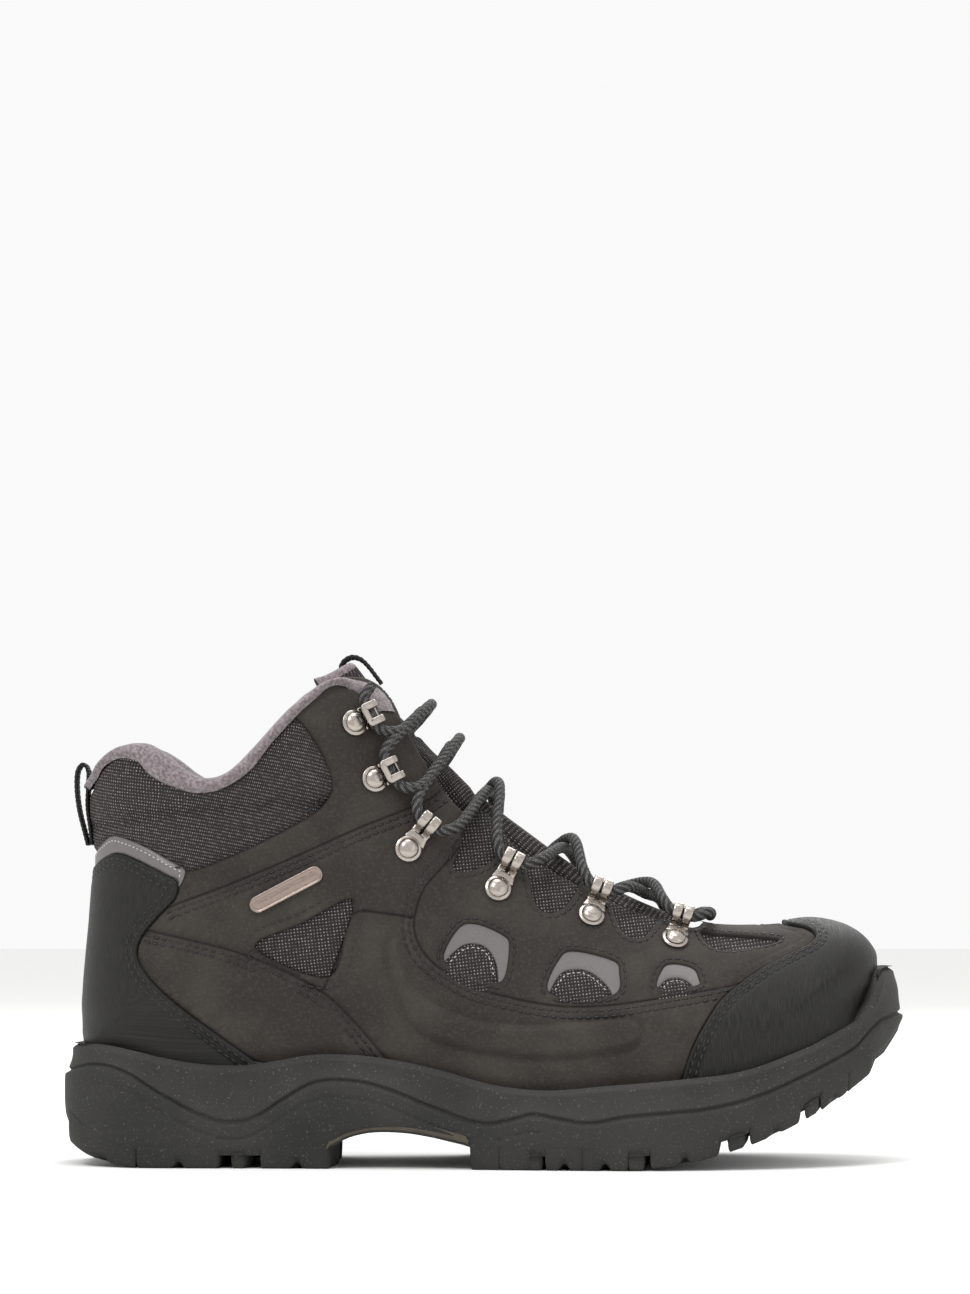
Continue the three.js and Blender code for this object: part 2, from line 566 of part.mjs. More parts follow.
// The ring and the ring share of a side-view place.
function ringOf([x, z]) {
  const across = (s) => {
    const [front, back] = [frontPoint(s), backPoint(s)];
    return (x - front.x) * (back.y - front.y) - (z - front.y) * (back.x - front.x);
  };
  const s = solve(across, 0, TOP_STATION);
  const [front, back] = [frontPoint(s), backPoint(s)];
  const chord = back.clone().sub(front);
  const share = clamp01(((x - front.x) * chord.x + (z - front.y) * chord.y) / chord.lengthSq());
  return [s, solve((f) => ringShare(s, f) - share, 0, 1)];
}

// A frame on the leather: x along the boot's surface towards a second place, z outwards.
function frameOn(at, towards, side, lift) {
  const [s, f] = ringOf(at);
  const [s2, f2] = ringOf(towards);
  const origin = surfacePoint(s, side * f, 0);
  const aim = surfacePoint(s2, side * f2, 0).sub(origin);
  const out = lastNormal(s, side * f);
  const along = aim.addScaledVector(out, -aim.dot(out)).normalize();
  const across = out.clone().cross(along);
  origin.addScaledVector(out, lift);
  origin.y += centreAt(origin.x);
  return new THREE.Matrix4().makeBasis(along, across, out).setPosition(origin);
}

const placed = (geometry, matrix) => solidOf(geometry.applyMatrix4(matrix));

// ---------------------------------------------------------------- materials and nodes

const MATERIALS = {
  nubuck: { color: 0x3f3d38, roughness: 0.85 },
  coatedLeather: { color: 0x2b2b29, roughness: 0.5 },
  spacerMesh: { color: 0x35302f, roughness: 0.9 },
  reflective: { color: 0x6c6866, roughness: 0.5 },
  fleece: { color: 0x8e8285, roughness: 1 },
  foam: { color: 0x4a4648, roughness: 1 },
  rubber: { color: 0x3b3b3a, roughness: 0.8 },
  midsoleFoam: { color: 0x454443, roughness: 0.85 },
  archPlate: { color: 0x5a5243, roughness: 0.6 },
  fibreboard: { color: 0x8a7656, roughness: 0.9 },
  thermoplastic: { color: 0x6f6b60, roughness: 0.6 },
  steel: { color: 0xb4aca6, roughness: 0.35, metalness: 1 },
  pewter: { color: 0x9a8a82, roughness: 0.4, metalness: 1 },
  webbing: { color: 0x201f1f, roughness: 0.9 },
  lace: { color: 0x1d1c1c, roughness: 0.85 },
};

const boot = new THREE.Group();

function addNode(name, solid, material) {
  const mesh = new THREE.Mesh(geometryOf(solid), new THREE.MeshStandardMaterial(MATERIALS[material]));
  mesh.name = name;
  boot.add(mesh);
}

// The separate bodies of a solid, largest first.
const bodiesOf = (solid) => solid.decompose().sort((a, b) => b.volume() - a.volume());
const largest = (solid) => bodiesOf(solid)[0];

// ---------------------------------------------------------------- upper: shells cut into panels

const aboveRim = (x, z) => z - heightAt(SOLE_RIM, x);
const overlayHeight = (x, z) => OVERLAY_RISE * smoothstep(8, 18, aboveRim(x, z));
const collarShare = (z) => smoothstep(COLLAR_FROM.low, COLLAR_FROM.high, z);
const liningOuter = (x, z) => LINING.outer - LINING.collarExtra * collarShare(z);
const liningInner = (x, z) => liningOuter(x, z) - LINING.thickness;
const tongueOuter = (x, z) => {
  const { crown, shoulder } = TONGUE;
  const middle = lerp(crown.low, crown.high, smoothstep(crown.fromZ, crown.toZ, z));
  const side = liningInner(x, z) - GAP;
  return lerp(middle, side, smoothstep(shoulder[0], shoulder[1], distanceTo(frontSilhouette, x, z)));
};

const floorPoints = Array.from({ length: HEEL_RING + 1 }, (_, i) => backPoint(ringAt(HEEL_RING - i)));

// A wedge of space under the foot's floor line moved up by rise, or over it.
function floorPrism(rise, upwards) {
  const closing = upwards ? ABOVE : BELOW;
  const line = floorPoints.map((p) => new THREE.Vector2(p.x, p.y + rise));
  const [first, last] = [line[0], line.at(-1)];
  const ends = [new THREE.Vector2(170, last.y + (170 - last.x)), new THREE.Vector2(170, closing)];
  return prism([new THREE.Vector2(-170, closing), new THREE.Vector2(-170, first.y + 12), ...line, ...ends]);
}

const BOARD_TOP = FLOOR_GAP + BOARD_THICKNESS;
const overBoard = floorPrism(BOARD_TOP + GAP, true);
const topLine = [...COLLAR_LINE, ...EYESTAY_EDGE, [170, 112]];
const underTop = under(topLine);
const overFloor = floorPrism(GAP, true);

const back = (line, ...closing) => prism([...spline(line), ...closing.map((p) => new THREE.Vector2(...p))]);
const seams = [COUNTER_EDGE, TRIM_EDGE, MESH_EDGE, RIM_LINE, ANKLE_SEAM, EYESTAY_SEAM, REAR_SEAM, SIDE_SEAM];
const seamKnives = [...seams, TOE_EDGE].map((line) => knife(line));
const outlines = [...WINDOWS, ...SCALLOPS, WINDOW_TRIANGLE];
const closedSpline = (points, grow = 0) => {
  const curve = new THREE.SplineCurve([...points, points[0]].map(([x, y]) => new THREE.Vector2(x, y)));
  const samples = curve.getPoints(points.length).slice(0, -1);
  return grow ? offsetLine(samples, THREE.ShapeUtils.isClockWise(samples) ? grow : -grow, true) : samples;
};

const leather = layer(LEATHER.outer, LEATHER.inner).intersect(underTop).intersect(overFloor);
const cutLeather = [...seamKnives, ...outlines.map((o) => prism(closedSpline(o)))].reduce(
  (rest, cutter) => rest.subtract(cutter),
  leather,
);

// Panels are told apart by a side-view place well inside each.
const PANELS = [
  ["shaft_panel_lateral", [-40, 150], -1],
  ["shaft_panel_medial", [-40, 150], 1],
  ["ankle_panel_lateral", [-80, 92], -1],
  ["ankle_panel_medial", [-80, 92], 1],
  ["heel_quarter_lateral", [-75, 56], -1],
  ["heel_quarter_medial", [-75, 56], 1],
  ["side_panel_lateral", [-20, 50], -1],
  ["side_panel_medial", [-20, 50], 1],
  ["lace_panel", [12, 92], -1],
];

// A short needle through the leather at a side-view place.
function probeAt([x, z], side) {
  const [s, f] = ringOf([x, z]);
  const needle = new THREE.LineCurve3(surfacePoint(s, side * f, -3), surfacePoint(s, side * f, 2));
  const section = new THREE.Shape().absarc(0, 0, 0.3, 0, 2 * Math.PI);
  return solidOf(new THREE.ExtrudeGeometry(section, { steps: 1, curveSegments: 2, extrudePath: needle }));
}

const leatherBodies = bodiesOf(cutLeather);
const bodyAt = (at, side, bodies = leatherBodies) => {
  const probe = probeAt(at, side);
  return bodies.find((body) => body.intersect(probe).volume() > 1e-4);
};

// Holes through the leather for the rivets of the lace holders.
const holders = [
  ...LOOPS.map((row, i) => ({ ...row, name: `lace_loop_${i + 1}`, kind: "loop" })),
  ...HOOKS.map((row, i) => ({ ...row, name: `lace_hook_${i + 1}`, kind: "hook" })),
];
const PLATE_LIFT = GAP + 0.1; // of a holder's underside over the leather
const DRILL = { length: 8, sides: 10 };
const drill = (radius) =>
  new THREE.CylinderGeometry(radius, radius, DRILL.length, DRILL.sides).rotateX(Math.PI / 2);
function rivetHole(holder, side) {
  const geometry = drill(RIVET.hole);
  return solidOf(geometry.applyMatrix4(frameOn(holder.at, holder.towards, side, 0)));
}

const footToLast = (solid) =>
  solid.warp((v) => {
    v[1] -= centreAt(v[0]);
  });
const holes = { "-1": [], 1: [] };
for (const side of [-1, 1])
  for (const holder of holders) holes[side].push(footToLast(rivetHole(holder, side)));

const bandRegion = prism(closedSpline(SIDE_BAND));
const sideBand = layer(BAND_RISE, LEATHER.inner / 2).intersect(bandRegion);

for (const [name, at, side] of PANELS) {
  let panel = bodyAt(at, side);
  for (const hole of name === "lace_panel" ? [...holes[-1], ...holes[1]] : holes[side])
    panel = panel.subtract(hole);
  if (name.startsWith("side_panel")) panel = panel.add(sideBand.intersect(half(side)));
  addNode(name, toFoot(panel), "nubuck");
}

const raised = layer(overlayHeight, LEATHER.inner).intersect(overFloor);
const grownCounter = back(offsetLine(spline(COUNTER_EDGE), -KNIFE / 2), [-68, BELOW], [-170, BELOW]);
addNode("heel_counter", toFoot(largest(raised.intersect(grownCounter))), "coatedLeather");
const inToe = back(offsetLine(spline(TOE_EDGE), -KNIFE / 2), [190, 110], [190, BELOW], [68, BELOW]);
addNode("toe_cap", toFoot(largest(raised.intersect(inToe))), "coatedLeather");
addNode("heel_trim", toFoot(bodyAt([-126, 114], -1)), "reflective");

const meshLayer = layer(MESH_OUTER, LEATHER.inner).intersect(underTop);
const collarBodies = bodiesOf(seamKnives.reduce((rest, cutter) => rest.subtract(cutter), meshLayer));
addNode("collar_mesh", toFoot(bodyAt([-80, 130], -1, collarBodies)), "spacerMesh");
for (const [name, side] of Object.entries(SIDES)) {
  const window = prism(closedSpline(WINDOW_TRIANGLE, -GAP)).intersect(half(side));
  addNode(`ankle_mesh_${name}`, toFoot(largest(meshLayer.intersect(window))), "spacerMesh");
}

// ---------------------------------------------------------------- behind the openings

for (const [name, side] of Object.entries(SIDES)) {
  const underlayer = layer(UNDERLAY.outer, UNDERLAY.outer - UNDERLAY.thickness);
  const region = prism(closedSpline(UNDERLAY_OUTLINE));
  const underlay = underlayer.intersect(region).intersect(overBoard).intersect(half(side));
  addNode(`vamp_mesh_${name}`, toFoot(largest(underlay)), "spacerMesh");
  const strip = layer(REFLECTIVE.outer, REFLECTIVE.outer - REFLECTIVE.thickness);
  const domes = DOMES.map((dome) => prism(closedSpline(dome)));
  const cut = domes.reduce((rest, dome) => rest.subtract(dome), prism(closedSpline(STRIP_OUTLINE)));
  addNode(`window_strip_${name}`, toFoot(largest(strip.intersect(cut).intersect(half(side)))), "reflective");
}

// ---------------------------------------------------------------- inside the upper

const ridgeFrom = (x) => silhouette(frontPoint, 0).filter((p) => p.x < x);
// The space within a depth of the ridge, from the throat's front end up.
function ridgeBand(frontX, depth) {
  const line = ridgeFrom(frontX);
  return prism([...offsetLine(line, -8), ...offsetLine(line, depth).reverse()]);
}
const throat = ridgeBand(TONGUE.frontX + 3, THROAT_DEPTH);
const tongueSolid = layer(tongueOuter, (x, z) => tongueOuter(x, z) - TONGUE.thickness)
  .intersect(ridgeBand(TONGUE.frontX, TONGUE.spread))
  .intersect(under(TONGUE.top));
addNode("tongue", toFoot(largest(tongueSolid)), "nubuck");

const rim = layer(MESH_OUTER, (x, z) => liningOuter(x, z) - GAP).intersect(under(COLLAR_LINE));
const rimBand = rim.intersect(above(RIM_LINE, KNIFE));
const liningSleeve = layer(liningOuter, liningInner).intersect(overBoard).intersect(underTop);
const liningBodies = bodiesOf(liningSleeve.add(rimBand).subtract(throat).subtract(knife(VAMP_LINING_SEAM)));
addNode("lining", toFoot(liningBodies[0]), "fleece");
addNode("vamp_lining", toFoot(liningBodies[1]), "fleece");

const foamRegion = under(RIM_LINE, -GAP).intersect(above(FOAM_LINE)).subtract(throat);
const foam = layer(LEATHER.inner - GAP, (x, z) => liningOuter(x, z) + GAP).intersect(foamRegion);
addNode("collar_foam", toFoot(largest(foam)), "foam");

const stiffening = layer(STIFFENER.outer, STIFFENER.inner).intersect(overBoard);
const stiffenerRegion = back(offsetLine(spline(STIFFENER_EDGE), 0), [-68, BELOW], [-170, BELOW]);
addNode("heel_stiffener", toFoot(largest(stiffening.intersect(stiffenerRegion))), "thermoplastic");
const puffRegion = back(PUFF_EDGE, [190, 110], [190, BELOW], [86, BELOW]);
addNode("toe_puff", toFoot(largest(stiffening.intersect(puffRegion))), "thermoplastic");

const insideLeather = filled(LEATHER.inner - GAP);
const board = insideLeather.intersect(floorPrism(FLOOR_GAP, true)).intersect(floorPrism(BOARD_TOP, false));
addNode("insole_board", toFoot(board), "fibreboard");
const bedFrom = BOARD_TOP + GAP;
const footbed = filled((x, z) => liningInner(x, z) - FOOTBED_CLEARANCE)
  .intersect(floorPrism(bedFrom, true))
  .intersect(floorPrism(bedFrom + FOOTBED_THICKNESS, false))
  .intersect(column(spline(FOOTBED_PLAN), BELOW, ABOVE));
addNode("footbed", toFoot(largest(footbed)), "foam");

// ---------------------------------------------------------------- sole

const planCurve = closedSpline(SOLE_PLAN);
const plan = column(planCurve, BELOW, ABOVE);
const innerPlan = (inset) => column(offsetLine(planCurve, inset, true), BELOW, ABOVE);
const seat = toFoot(filled(GAP));
// The hollow of the outsole's tray; with a clearance, the midsole's block in it.
const core = (clearance) =>
  innerPlan(TRAY_WALL + clearance).intersect(above(ROOT_LINE, TRAY_FLOOR + clearance));

const lugs = [];
for (const side of [-1, 1]) {
  const [outer, inner, nubInner] = [side * SIDE_REACH, side * EDGE_LUG_INNER, side * NUB_INNER];
  for (const [from, to] of EDGE_LUGS)
    lugs.push([[from, outer], [to, outer], [to + LUG_SLANT, inner], [from + LUG_SLANT, inner]]);
  for (const [from, to] of NUBS) lugs.push([[from, outer], [to, outer], [to, nubInner], [from, nubInner]]);
}
for (const [from, to] of CENTRE_LUGS) {
  const w = CENTRE_LUG_WIDTH / 2;
  lugs.push([[from, -w], [from + LUG_SLANT, 0], [from, w], [to, w], [to + LUG_SLANT, 0], [to, -w]]);
}
const between = above(TREAD_LINE).intersect(under(ROOT_LINE, 1));
const blocks = lugs.map((outline) => {
  const points = outline.map(([x, y]) => new THREE.Vector2(x, y));
  if (THREE.ShapeUtils.isClockWise(points)) points.reverse();
  return column(points, BELOW, ABOVE).intersect(plan).intersect(between);
});
const slab = plan.intersect(above(ROOT_LINE)).intersect(under(WAVE_LINE));
const archRegion = (grow) => prism(closedSpline(ARCH_PLATE, grow));
const outsole = blocks
  .reduce((body, block) => body.add(block), slab)
  .subtract(core(0))
  .subtract(seat)
  .subtract(archRegion(GAP));
addNode("outsole", largest(outsole), "rubber");
const arch = plan.intersect(above(ROOT_LINE)).intersect(archRegion(0)).subtract(core(0));
addNode("arch_plate", largest(arch), "archPlate");

const sidewall = plan.intersect(above(WAVE_LINE, GAP)).intersect(under(SOLE_RIM));
const heart = core(GAP).intersect(under(SOLE_RIM));
const midsole = sidewall.add(heart).subtract(seat);
addNode("midsole", largest(midsole), "midsoleFoam");

// ---------------------------------------------------------------- webbing loops and badge

function strap({ width, thickness, path }, perSpan = 2) {
  const line = spline(path, perSpan);
  const outline = [...offsetLine(line, thickness / 2), ...offsetLine(line, -thickness / 2).reverse()];
  return prism(outline, -width / 2, width / 2).translate([0, centreAt(path[0][0]), 0]);
}
addNode("heel_pull_loop", strap(HEEL_LOOP), "webbing");
addNode("tongue_pull_loop", strap(TONGUE_LOOP), "webbing");

function extruded(shape, depth, matrix, segments = 6) {
  const geometry = new THREE.ExtrudeGeometry(shape, { depth, bevelEnabled: false, curveSegments: segments });
  return placed(geometry, matrix);
}
const badgeShape = new THREE.Shape();
badgeShape.absarc(BADGE.length, 0, BADGE.width / 2, -Math.PI / 2, Math.PI / 2);
badgeShape.absarc(0, 0, BADGE.width / 2, Math.PI / 2, (3 * Math.PI) / 2);
const badgeFrame = frameOn(BADGE.at, BADGE.towards, -1, BADGE.lift);
addNode("badge", extruded(badgeShape, BADGE.thickness, badgeFrame), "pewter");

// ---------------------------------------------------------------- lace holders and rivets

// In a holder's own frame: x to the lace, y along the throat, z away from the leather.
function plateShape(reach) {
  const shape = new THREE.Shape();
  const tip = PLATE.tipHalfWidth;
  const lean = Math.asin((PLATE.radius - tip) / reach);
  shape.absarc(0, 0, PLATE.radius, Math.PI / 2 - lean, (3 * Math.PI) / 2 + lean);
  shape.lineTo(reach, -tip);
  shape.lineTo(reach, tip);
  const hole = new THREE.Path().absarc(0, 0, RIVET.shankRadius + GAP, 0, 2 * Math.PI, true);
  shape.holes.push(hole);
  return shape;
}
const plateOf = (reach) => extruded(plateShape(reach), PLATE.thickness, new THREE.Matrix4(), 5);

const onEdge = (width) => new THREE.Matrix4().makeRotationX(Math.PI / 2).setPosition(0, width / 2, 0);

// A strap folded into an eye for the lace, slit down the middle.
function laceLoop() {
  const { reach, inner, wall, slit } = EYE;
  const width = 2 * PLATE.tipHalfWidth;
  const eye = new THREE.Shape().absarc(reach, inner + wall, inner + wall, 0, 2 * Math.PI);
  eye.holes.push(new THREE.Path().absarc(reach, inner + wall, inner, 0, 2 * Math.PI, true));
  const gap = new THREE.Shape([
    new THREE.Vector2(reach - 4.5, -1), new THREE.Vector2(reach + 9, -1),
    new THREE.Vector2(reach + 9, 9), new THREE.Vector2(reach - 4.5, 9),
  ]);
  return plateOf(reach)
    .add(extruded(eye, width, onEdge(width)))
    .subtract(extruded(gap, slit, onEdge(slit)));
}

// A strap that turns up and back over itself, so that the lace hooks round it.
function speedHook() {
  const { reach, headReach, gap } = HOOK;
  const t = PLATE.thickness;
  const radius = gap / 2;
  const from = PLATE.radius * 0.42; // where the strap leaves the round plate
  const side = new THREE.Shape();
  side.moveTo(from, 0);
  side.lineTo(reach - radius, 0);
  side.absarc(reach - radius, radius + t, radius + t, -Math.PI / 2, Math.PI / 2);
  side.lineTo(reach - headReach, gap + 2 * t);
  side.lineTo(reach - headReach, gap + t);
  side.absarc(reach - radius, radius + t, radius, Math.PI / 2, -Math.PI / 2, true);
  side.lineTo(from, t);
  const width = 2 * HOOK.halfWidth;
  const strip = extruded(side, width, onEdge(width), 5);
  const hole = solidOf(drill(RIVET.shankRadius + GAP));
  return plateOf(reach - radius).add(strip).subtract(hole);
}

function rivet() {
  const { headRadius, headHeight, shankRadius, depth } = RIVET;
  const base = PLATE.thickness + GAP;
  const profile = [[0, base + headHeight], [headRadius * 0.7, base + headHeight * 0.7], [headRadius, base]];
  profile.push([shankRadius, base], [shankRadius, -depth], [0, -depth]);
  const lathe = profile.reverse().map(([x, y]) => new THREE.Vector2(x, y));
  return new THREE.LatheGeometry(lathe, DRILL.sides).rotateX(Math.PI / 2);
}

const holderFrames = [];
for (const [sideName, side] of Object.entries(SIDES))
  for (const holder of holders) {
    const frame = frameOn(holder.at, holder.towards, side, PLATE_LIFT);
    const made = holder.kind === "loop" ? laceLoop() : speedHook();
    addNode(`${holder.name}_${sideName}`, made.transform(frame.toArray()), "steel");
    const stud = placed(rivet(), frame);
    addNode(`rivet_${holder.name}_${sideName}`, stud, "steel");
    holderFrames.push({ ...holder, side, frame });
  }

// ---------------------------------------------------------------- lace

const local = (frame, x, y, z) => new THREE.Vector3(x, y, z).applyMatrix4(frame);
const laceHeight = EYE.inner + EYE.wall;

// The lace through one holder, from its toe side to its ankle side.
function throughHolder({ kind, side, frame }) {
  // A holder's own y points to the ankle on one side of the boot and to the toe on the other.
  const way = side < 0 ? LACE.ankleward : -LACE.ankleward;
  const at = (x, y, z) => local(frame, x, way * y, z);
  if (kind === "loop") {
    const x = EYE.reach;
    const bend = [[4.4, -8.4], [0, -4.4], [-0.2, 0], [0, 4.4], [4.4, 8.4]];
    return bend.map(([dx, y]) => at(x + dx, y, laceHeight));
  }
  const x = HOOK.reach - PLATE.thickness - LACE_DIAMETER / 2 - LACE.hookSlack;
  const z = PLATE.thickness + HOOK.gap / 2;
  return [at(x + 6, -9.6, z), at(x + 0.6, -6.6, z), at(x - 0.4, -2.4, z)]
    .concat([at(x - 0.4, 2.4, z), at(x + 0.6, 6.6, z), at(x + 6, 9.6, z)]);
}

const framesOf = (side) => holderFrames.filter((holder) => holder.side === side);
const levels = { "-1": framesOf(-1), 1: framesOf(1) };

function ridgePoint(s, height) {
  const point = surfacePoint(s, 0, height);
  point.y += centreAt(point.x);
  return point;
}
const ringOfLevel = (i) => ringOf(holders[i].towards)[0];

// One half of the lace, from the middle of the lowest bar to its end inside the boot.
function laceHalf(side) {
  const points = [];
  let on = side;
  for (let i = 0; i < holders.length; i++) {
    points.push(...throughHolder(levels[on][i]));
    if (i === holders.length - 1) break;
    const over = (side < 0) === (i % 2 === 0);
    const s = (ringOfLevel(i) + ringOfLevel(i + 1)) / 2 + LACE.ridgeShift;
    points.push(ridgePoint(s, over ? LACE.highCrossing : LACE.lowCrossing));
    on = -on;
  }
  return points;
}
const lateral = laceHalf(-1);
const medial = laceHalf(1);
const bar = ridgePoint(ringOfLevel(0) + LACE.barShift, LACE.lowCrossing);
const lacePoints = [...lateral.reverse(), bar, ...medial];
const route = new THREE.CatmullRomCurve3(lacePoints, false, "centripetal");
const round = new THREE.Shape().absarc(0, 0, LACE_DIAMETER / 2, 0, 2 * Math.PI);
const tubeSettings = { steps: LACE.steps, curveSegments: 4, extrudePath: route };
const laceTube = new THREE.ExtrudeGeometry(round, tubeSettings);
addNode("lace", solidOf(laceTube), "lace");

export default boot;
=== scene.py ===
import math
import bmesh
import bpy
import numpy as np
from mathutils import Matrix, Vector, noise
from mathutils.geometry import delaunay_2d_cdt
from mathutils.kdtree import KDTree


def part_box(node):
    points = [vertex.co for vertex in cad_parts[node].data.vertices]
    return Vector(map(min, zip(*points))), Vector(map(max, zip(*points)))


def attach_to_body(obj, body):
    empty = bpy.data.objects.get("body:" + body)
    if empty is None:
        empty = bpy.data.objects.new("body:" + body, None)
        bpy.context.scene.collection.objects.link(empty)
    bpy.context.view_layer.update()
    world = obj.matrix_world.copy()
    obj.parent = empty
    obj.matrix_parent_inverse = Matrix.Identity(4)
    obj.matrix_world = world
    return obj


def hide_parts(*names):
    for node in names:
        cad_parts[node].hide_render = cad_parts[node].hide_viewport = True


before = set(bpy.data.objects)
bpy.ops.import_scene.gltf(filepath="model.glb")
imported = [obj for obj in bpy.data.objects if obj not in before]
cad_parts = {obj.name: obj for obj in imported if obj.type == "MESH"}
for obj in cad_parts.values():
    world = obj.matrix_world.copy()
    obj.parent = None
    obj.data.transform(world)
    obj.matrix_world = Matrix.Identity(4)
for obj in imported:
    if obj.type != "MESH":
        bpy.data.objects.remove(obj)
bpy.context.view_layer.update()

mm = 0.001


# camera, floor and light

studio = {
    "distance": 1.6,  # from the lens to the boot's middle plane
    "lens": 120.0,
    "eyeHeight": 0.1,
    "frameMiddle": 0.191,  # height that the middle of the picture shows
    "frameHeight": 0.4804,
}


def setStage():
    cam = bpy.data.objects.new("camera", bpy.data.cameras.new("camera"))
    bpy.context.collection.objects.link(cam)
    cam.location = (0, -studio["distance"], studio["eyeHeight"])
    cam.rotation_euler = (math.pi / 2, 0, 0)
    cam.data.lens = studio["lens"]
    cam.data.sensor_width = 36
    cam.data.shift_y = (studio["frameMiddle"] - studio["eyeHeight"]) / studio["frameHeight"]
    cam.data.clip_end = 30
    bpy.context.scene.view_settings.view_transform = "Standard"
    bpy.context.scene.camera = cam

    size = 6
    floor = meshObject("floor", [(-size, -size, 0), (size, -size, 0), (size, size, 0), (-size, size, 0)],
                       [(0, 1, 2, 3)])
    paint(floor, plainFloor())
    lights = (
        ("key", (-0.7, -1.1, 1.5), 0.6, 13),
        ("fill", (1.3, -1.3, 0.6), 1.2, 2),
        ("back", (0.3, 1.3, 1.2), 1.0, 8),
        ("top", (0.1, -0.1, 1.6), 0.8, 9),
    )
    for name, place, width, power in lights:
        lamp = bpy.data.objects.new(name, bpy.data.lights.new(name, "AREA"))
        bpy.context.collection.objects.link(lamp)
        lamp.location = place
        lamp.rotation_euler = (Vector((0, 0, 0.08)) - Vector(place)).to_track_quat("-Z", "Y").to_euler()
        lamp.data.shape = "DISK"
        lamp.data.size = width
        lamp.data.energy = power
    world = bpy.data.worlds.new("studio")
    bpy.context.scene.world = world
    world.use_nodes = True
    world.node_tree.nodes["Background"].inputs["Color"].default_value = (1, 1, 1, 1)
    world.node_tree.nodes["Background"].inputs["Strength"].default_value = 0.95


# helpers

def meshObject(name, points, faces, smooth=True):
    mesh = bpy.data.meshes.new(name)
    mesh.from_pydata([tuple(p) for p in points], [], [tuple(f) for f in faces])
    mesh.validate()
    mesh.update()
    piece = bpy.data.objects.new(name, mesh)
    bpy.context.collection.objects.link(piece)
    if smooth:
        mesh.polygons.foreach_set("use_smooth", [True] * len(mesh.polygons))
    return piece


def gridFaces(n, m, closed=False):
    return [(i * m + j, (i + 1) * m + j, (i + 1) * m + (j + 1) % m, i * m + (j + 1) % m)
            for i in range(n - 1) for j in range(m if closed else m - 1)]


def gridMesh(name, rows, closed=False, capped=False):
    # rows of points in metres, joined into a skin
    n, m = len(rows), len(rows[0])
    points = [p for row in rows for p in row]
    faces = gridFaces(n, m, closed)
    if capped:
        faces.append(tuple(range(m)))
        faces.append(tuple((n - 1) * m + j for j in reversed(range(m))))
    piece = meshObject(name, points, faces)
    u = np.tile(np.arange(m), n)
    v = np.repeat(np.arange(n), m)
    return piece, u, v


def joinPieces(pieces, name):
    with bpy.context.temp_override(active_object=pieces[0], selected_editable_objects=pieces):
        bpy.ops.object.join()
    pieces[0].name = name
    return pieces[0]


def attach(piece, mat, slot, *nodes, body="boot"):
    paint(piece, mat)
    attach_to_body(piece, body)
    if nodes:
        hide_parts(*nodes)
    return piece


def floatAttribute(piece, name, values):
    made = piece.data.attributes.new(name, "FLOAT", "POINT")
    made.data.foreach_set("value", np.asarray(values, dtype=np.float32))


def uvLayer(piece, u, v):
    layer = piece.data.uv_layers.new(name="flat")
    corners = np.empty(len(piece.data.loops), dtype=np.int32)
    piece.data.loops.foreach_get("vertex_index", corners)
    flat = np.column_stack((np.asarray(u)[corners], np.asarray(v)[corners])).astype(np.float32)
    layer.data.foreach_set("uv", flat.ravel())


def unit(vectors):
    return vectors / np.maximum(np.linalg.norm(vectors, axis=1), 1e-9)[:, None]


def squared(value, power):
    # a cosine or sine drawn out towards a square's corners
    return math.copysign(abs(value) ** power, value)


def smoothstep(a, b, v):
    t = np.clip((np.asarray(v, dtype=float) - a) / (b - a), 0, 1)
    return t * t * (3 - 2 * t)


def catmull(values, t):
    values = np.asarray(values, dtype=float)
    t = np.clip(np.asarray(t, dtype=float), 0, len(values) - 1)
    i = np.minimum(t.astype(int), len(values) - 2)
    u = t - i
    last = len(values) - 1
    p0, p1 = values[np.maximum(i - 1, 0)], values[i]
    p2, p3 = values[i + 1], values[np.minimum(i + 2, last)]
    if values.ndim > 1:
        u = u[..., None]
    return p1 + 0.5 * u * (p2 - p0 + u * (2 * p0 - 5 * p1 + 4 * p2 - p3 + u * (3 * (p1 - p2) + p3 - p0)))


def curveThrough(points, step=1.5, closed=False):
    points = np.asarray(points, dtype=float)
    if closed:
        points = np.vstack((points[-2:], points, points[:3]))
    dense = catmull(points, np.linspace(0, len(points) - 1, (len(points) - 1) * 24 + 1))
    if closed:
        dense = dense[48:-48]
    return resample(dense, step)


def resample(line, step):
    line = np.asarray(line, dtype=float)
    lengths = np.concatenate(([0], np.cumsum(np.linalg.norm(np.diff(line, axis=0), axis=1))))
    count = max(2, int(round(lengths[-1] / step)) + 1)
    at = np.linspace(0, lengths[-1], count)
    return np.column_stack([np.interp(at, lengths, line[:, k]) for k in range(line.shape[1])])


def along(points, x):
    points = np.asarray(points, dtype=float)
    x = np.clip(np.asarray(x, dtype=float), points[0, 0], points[-1, 0])
    i = np.clip(np.searchsorted(points[:, 0], x, side="right") - 1, 0, len(points) - 2)
    return catmull(points[:, 1], i + (x - points[i, 0]) / (points[i + 1, 0] - points[i, 0]))


# the last: the same stations that the boot's frame is built on, in millimetres

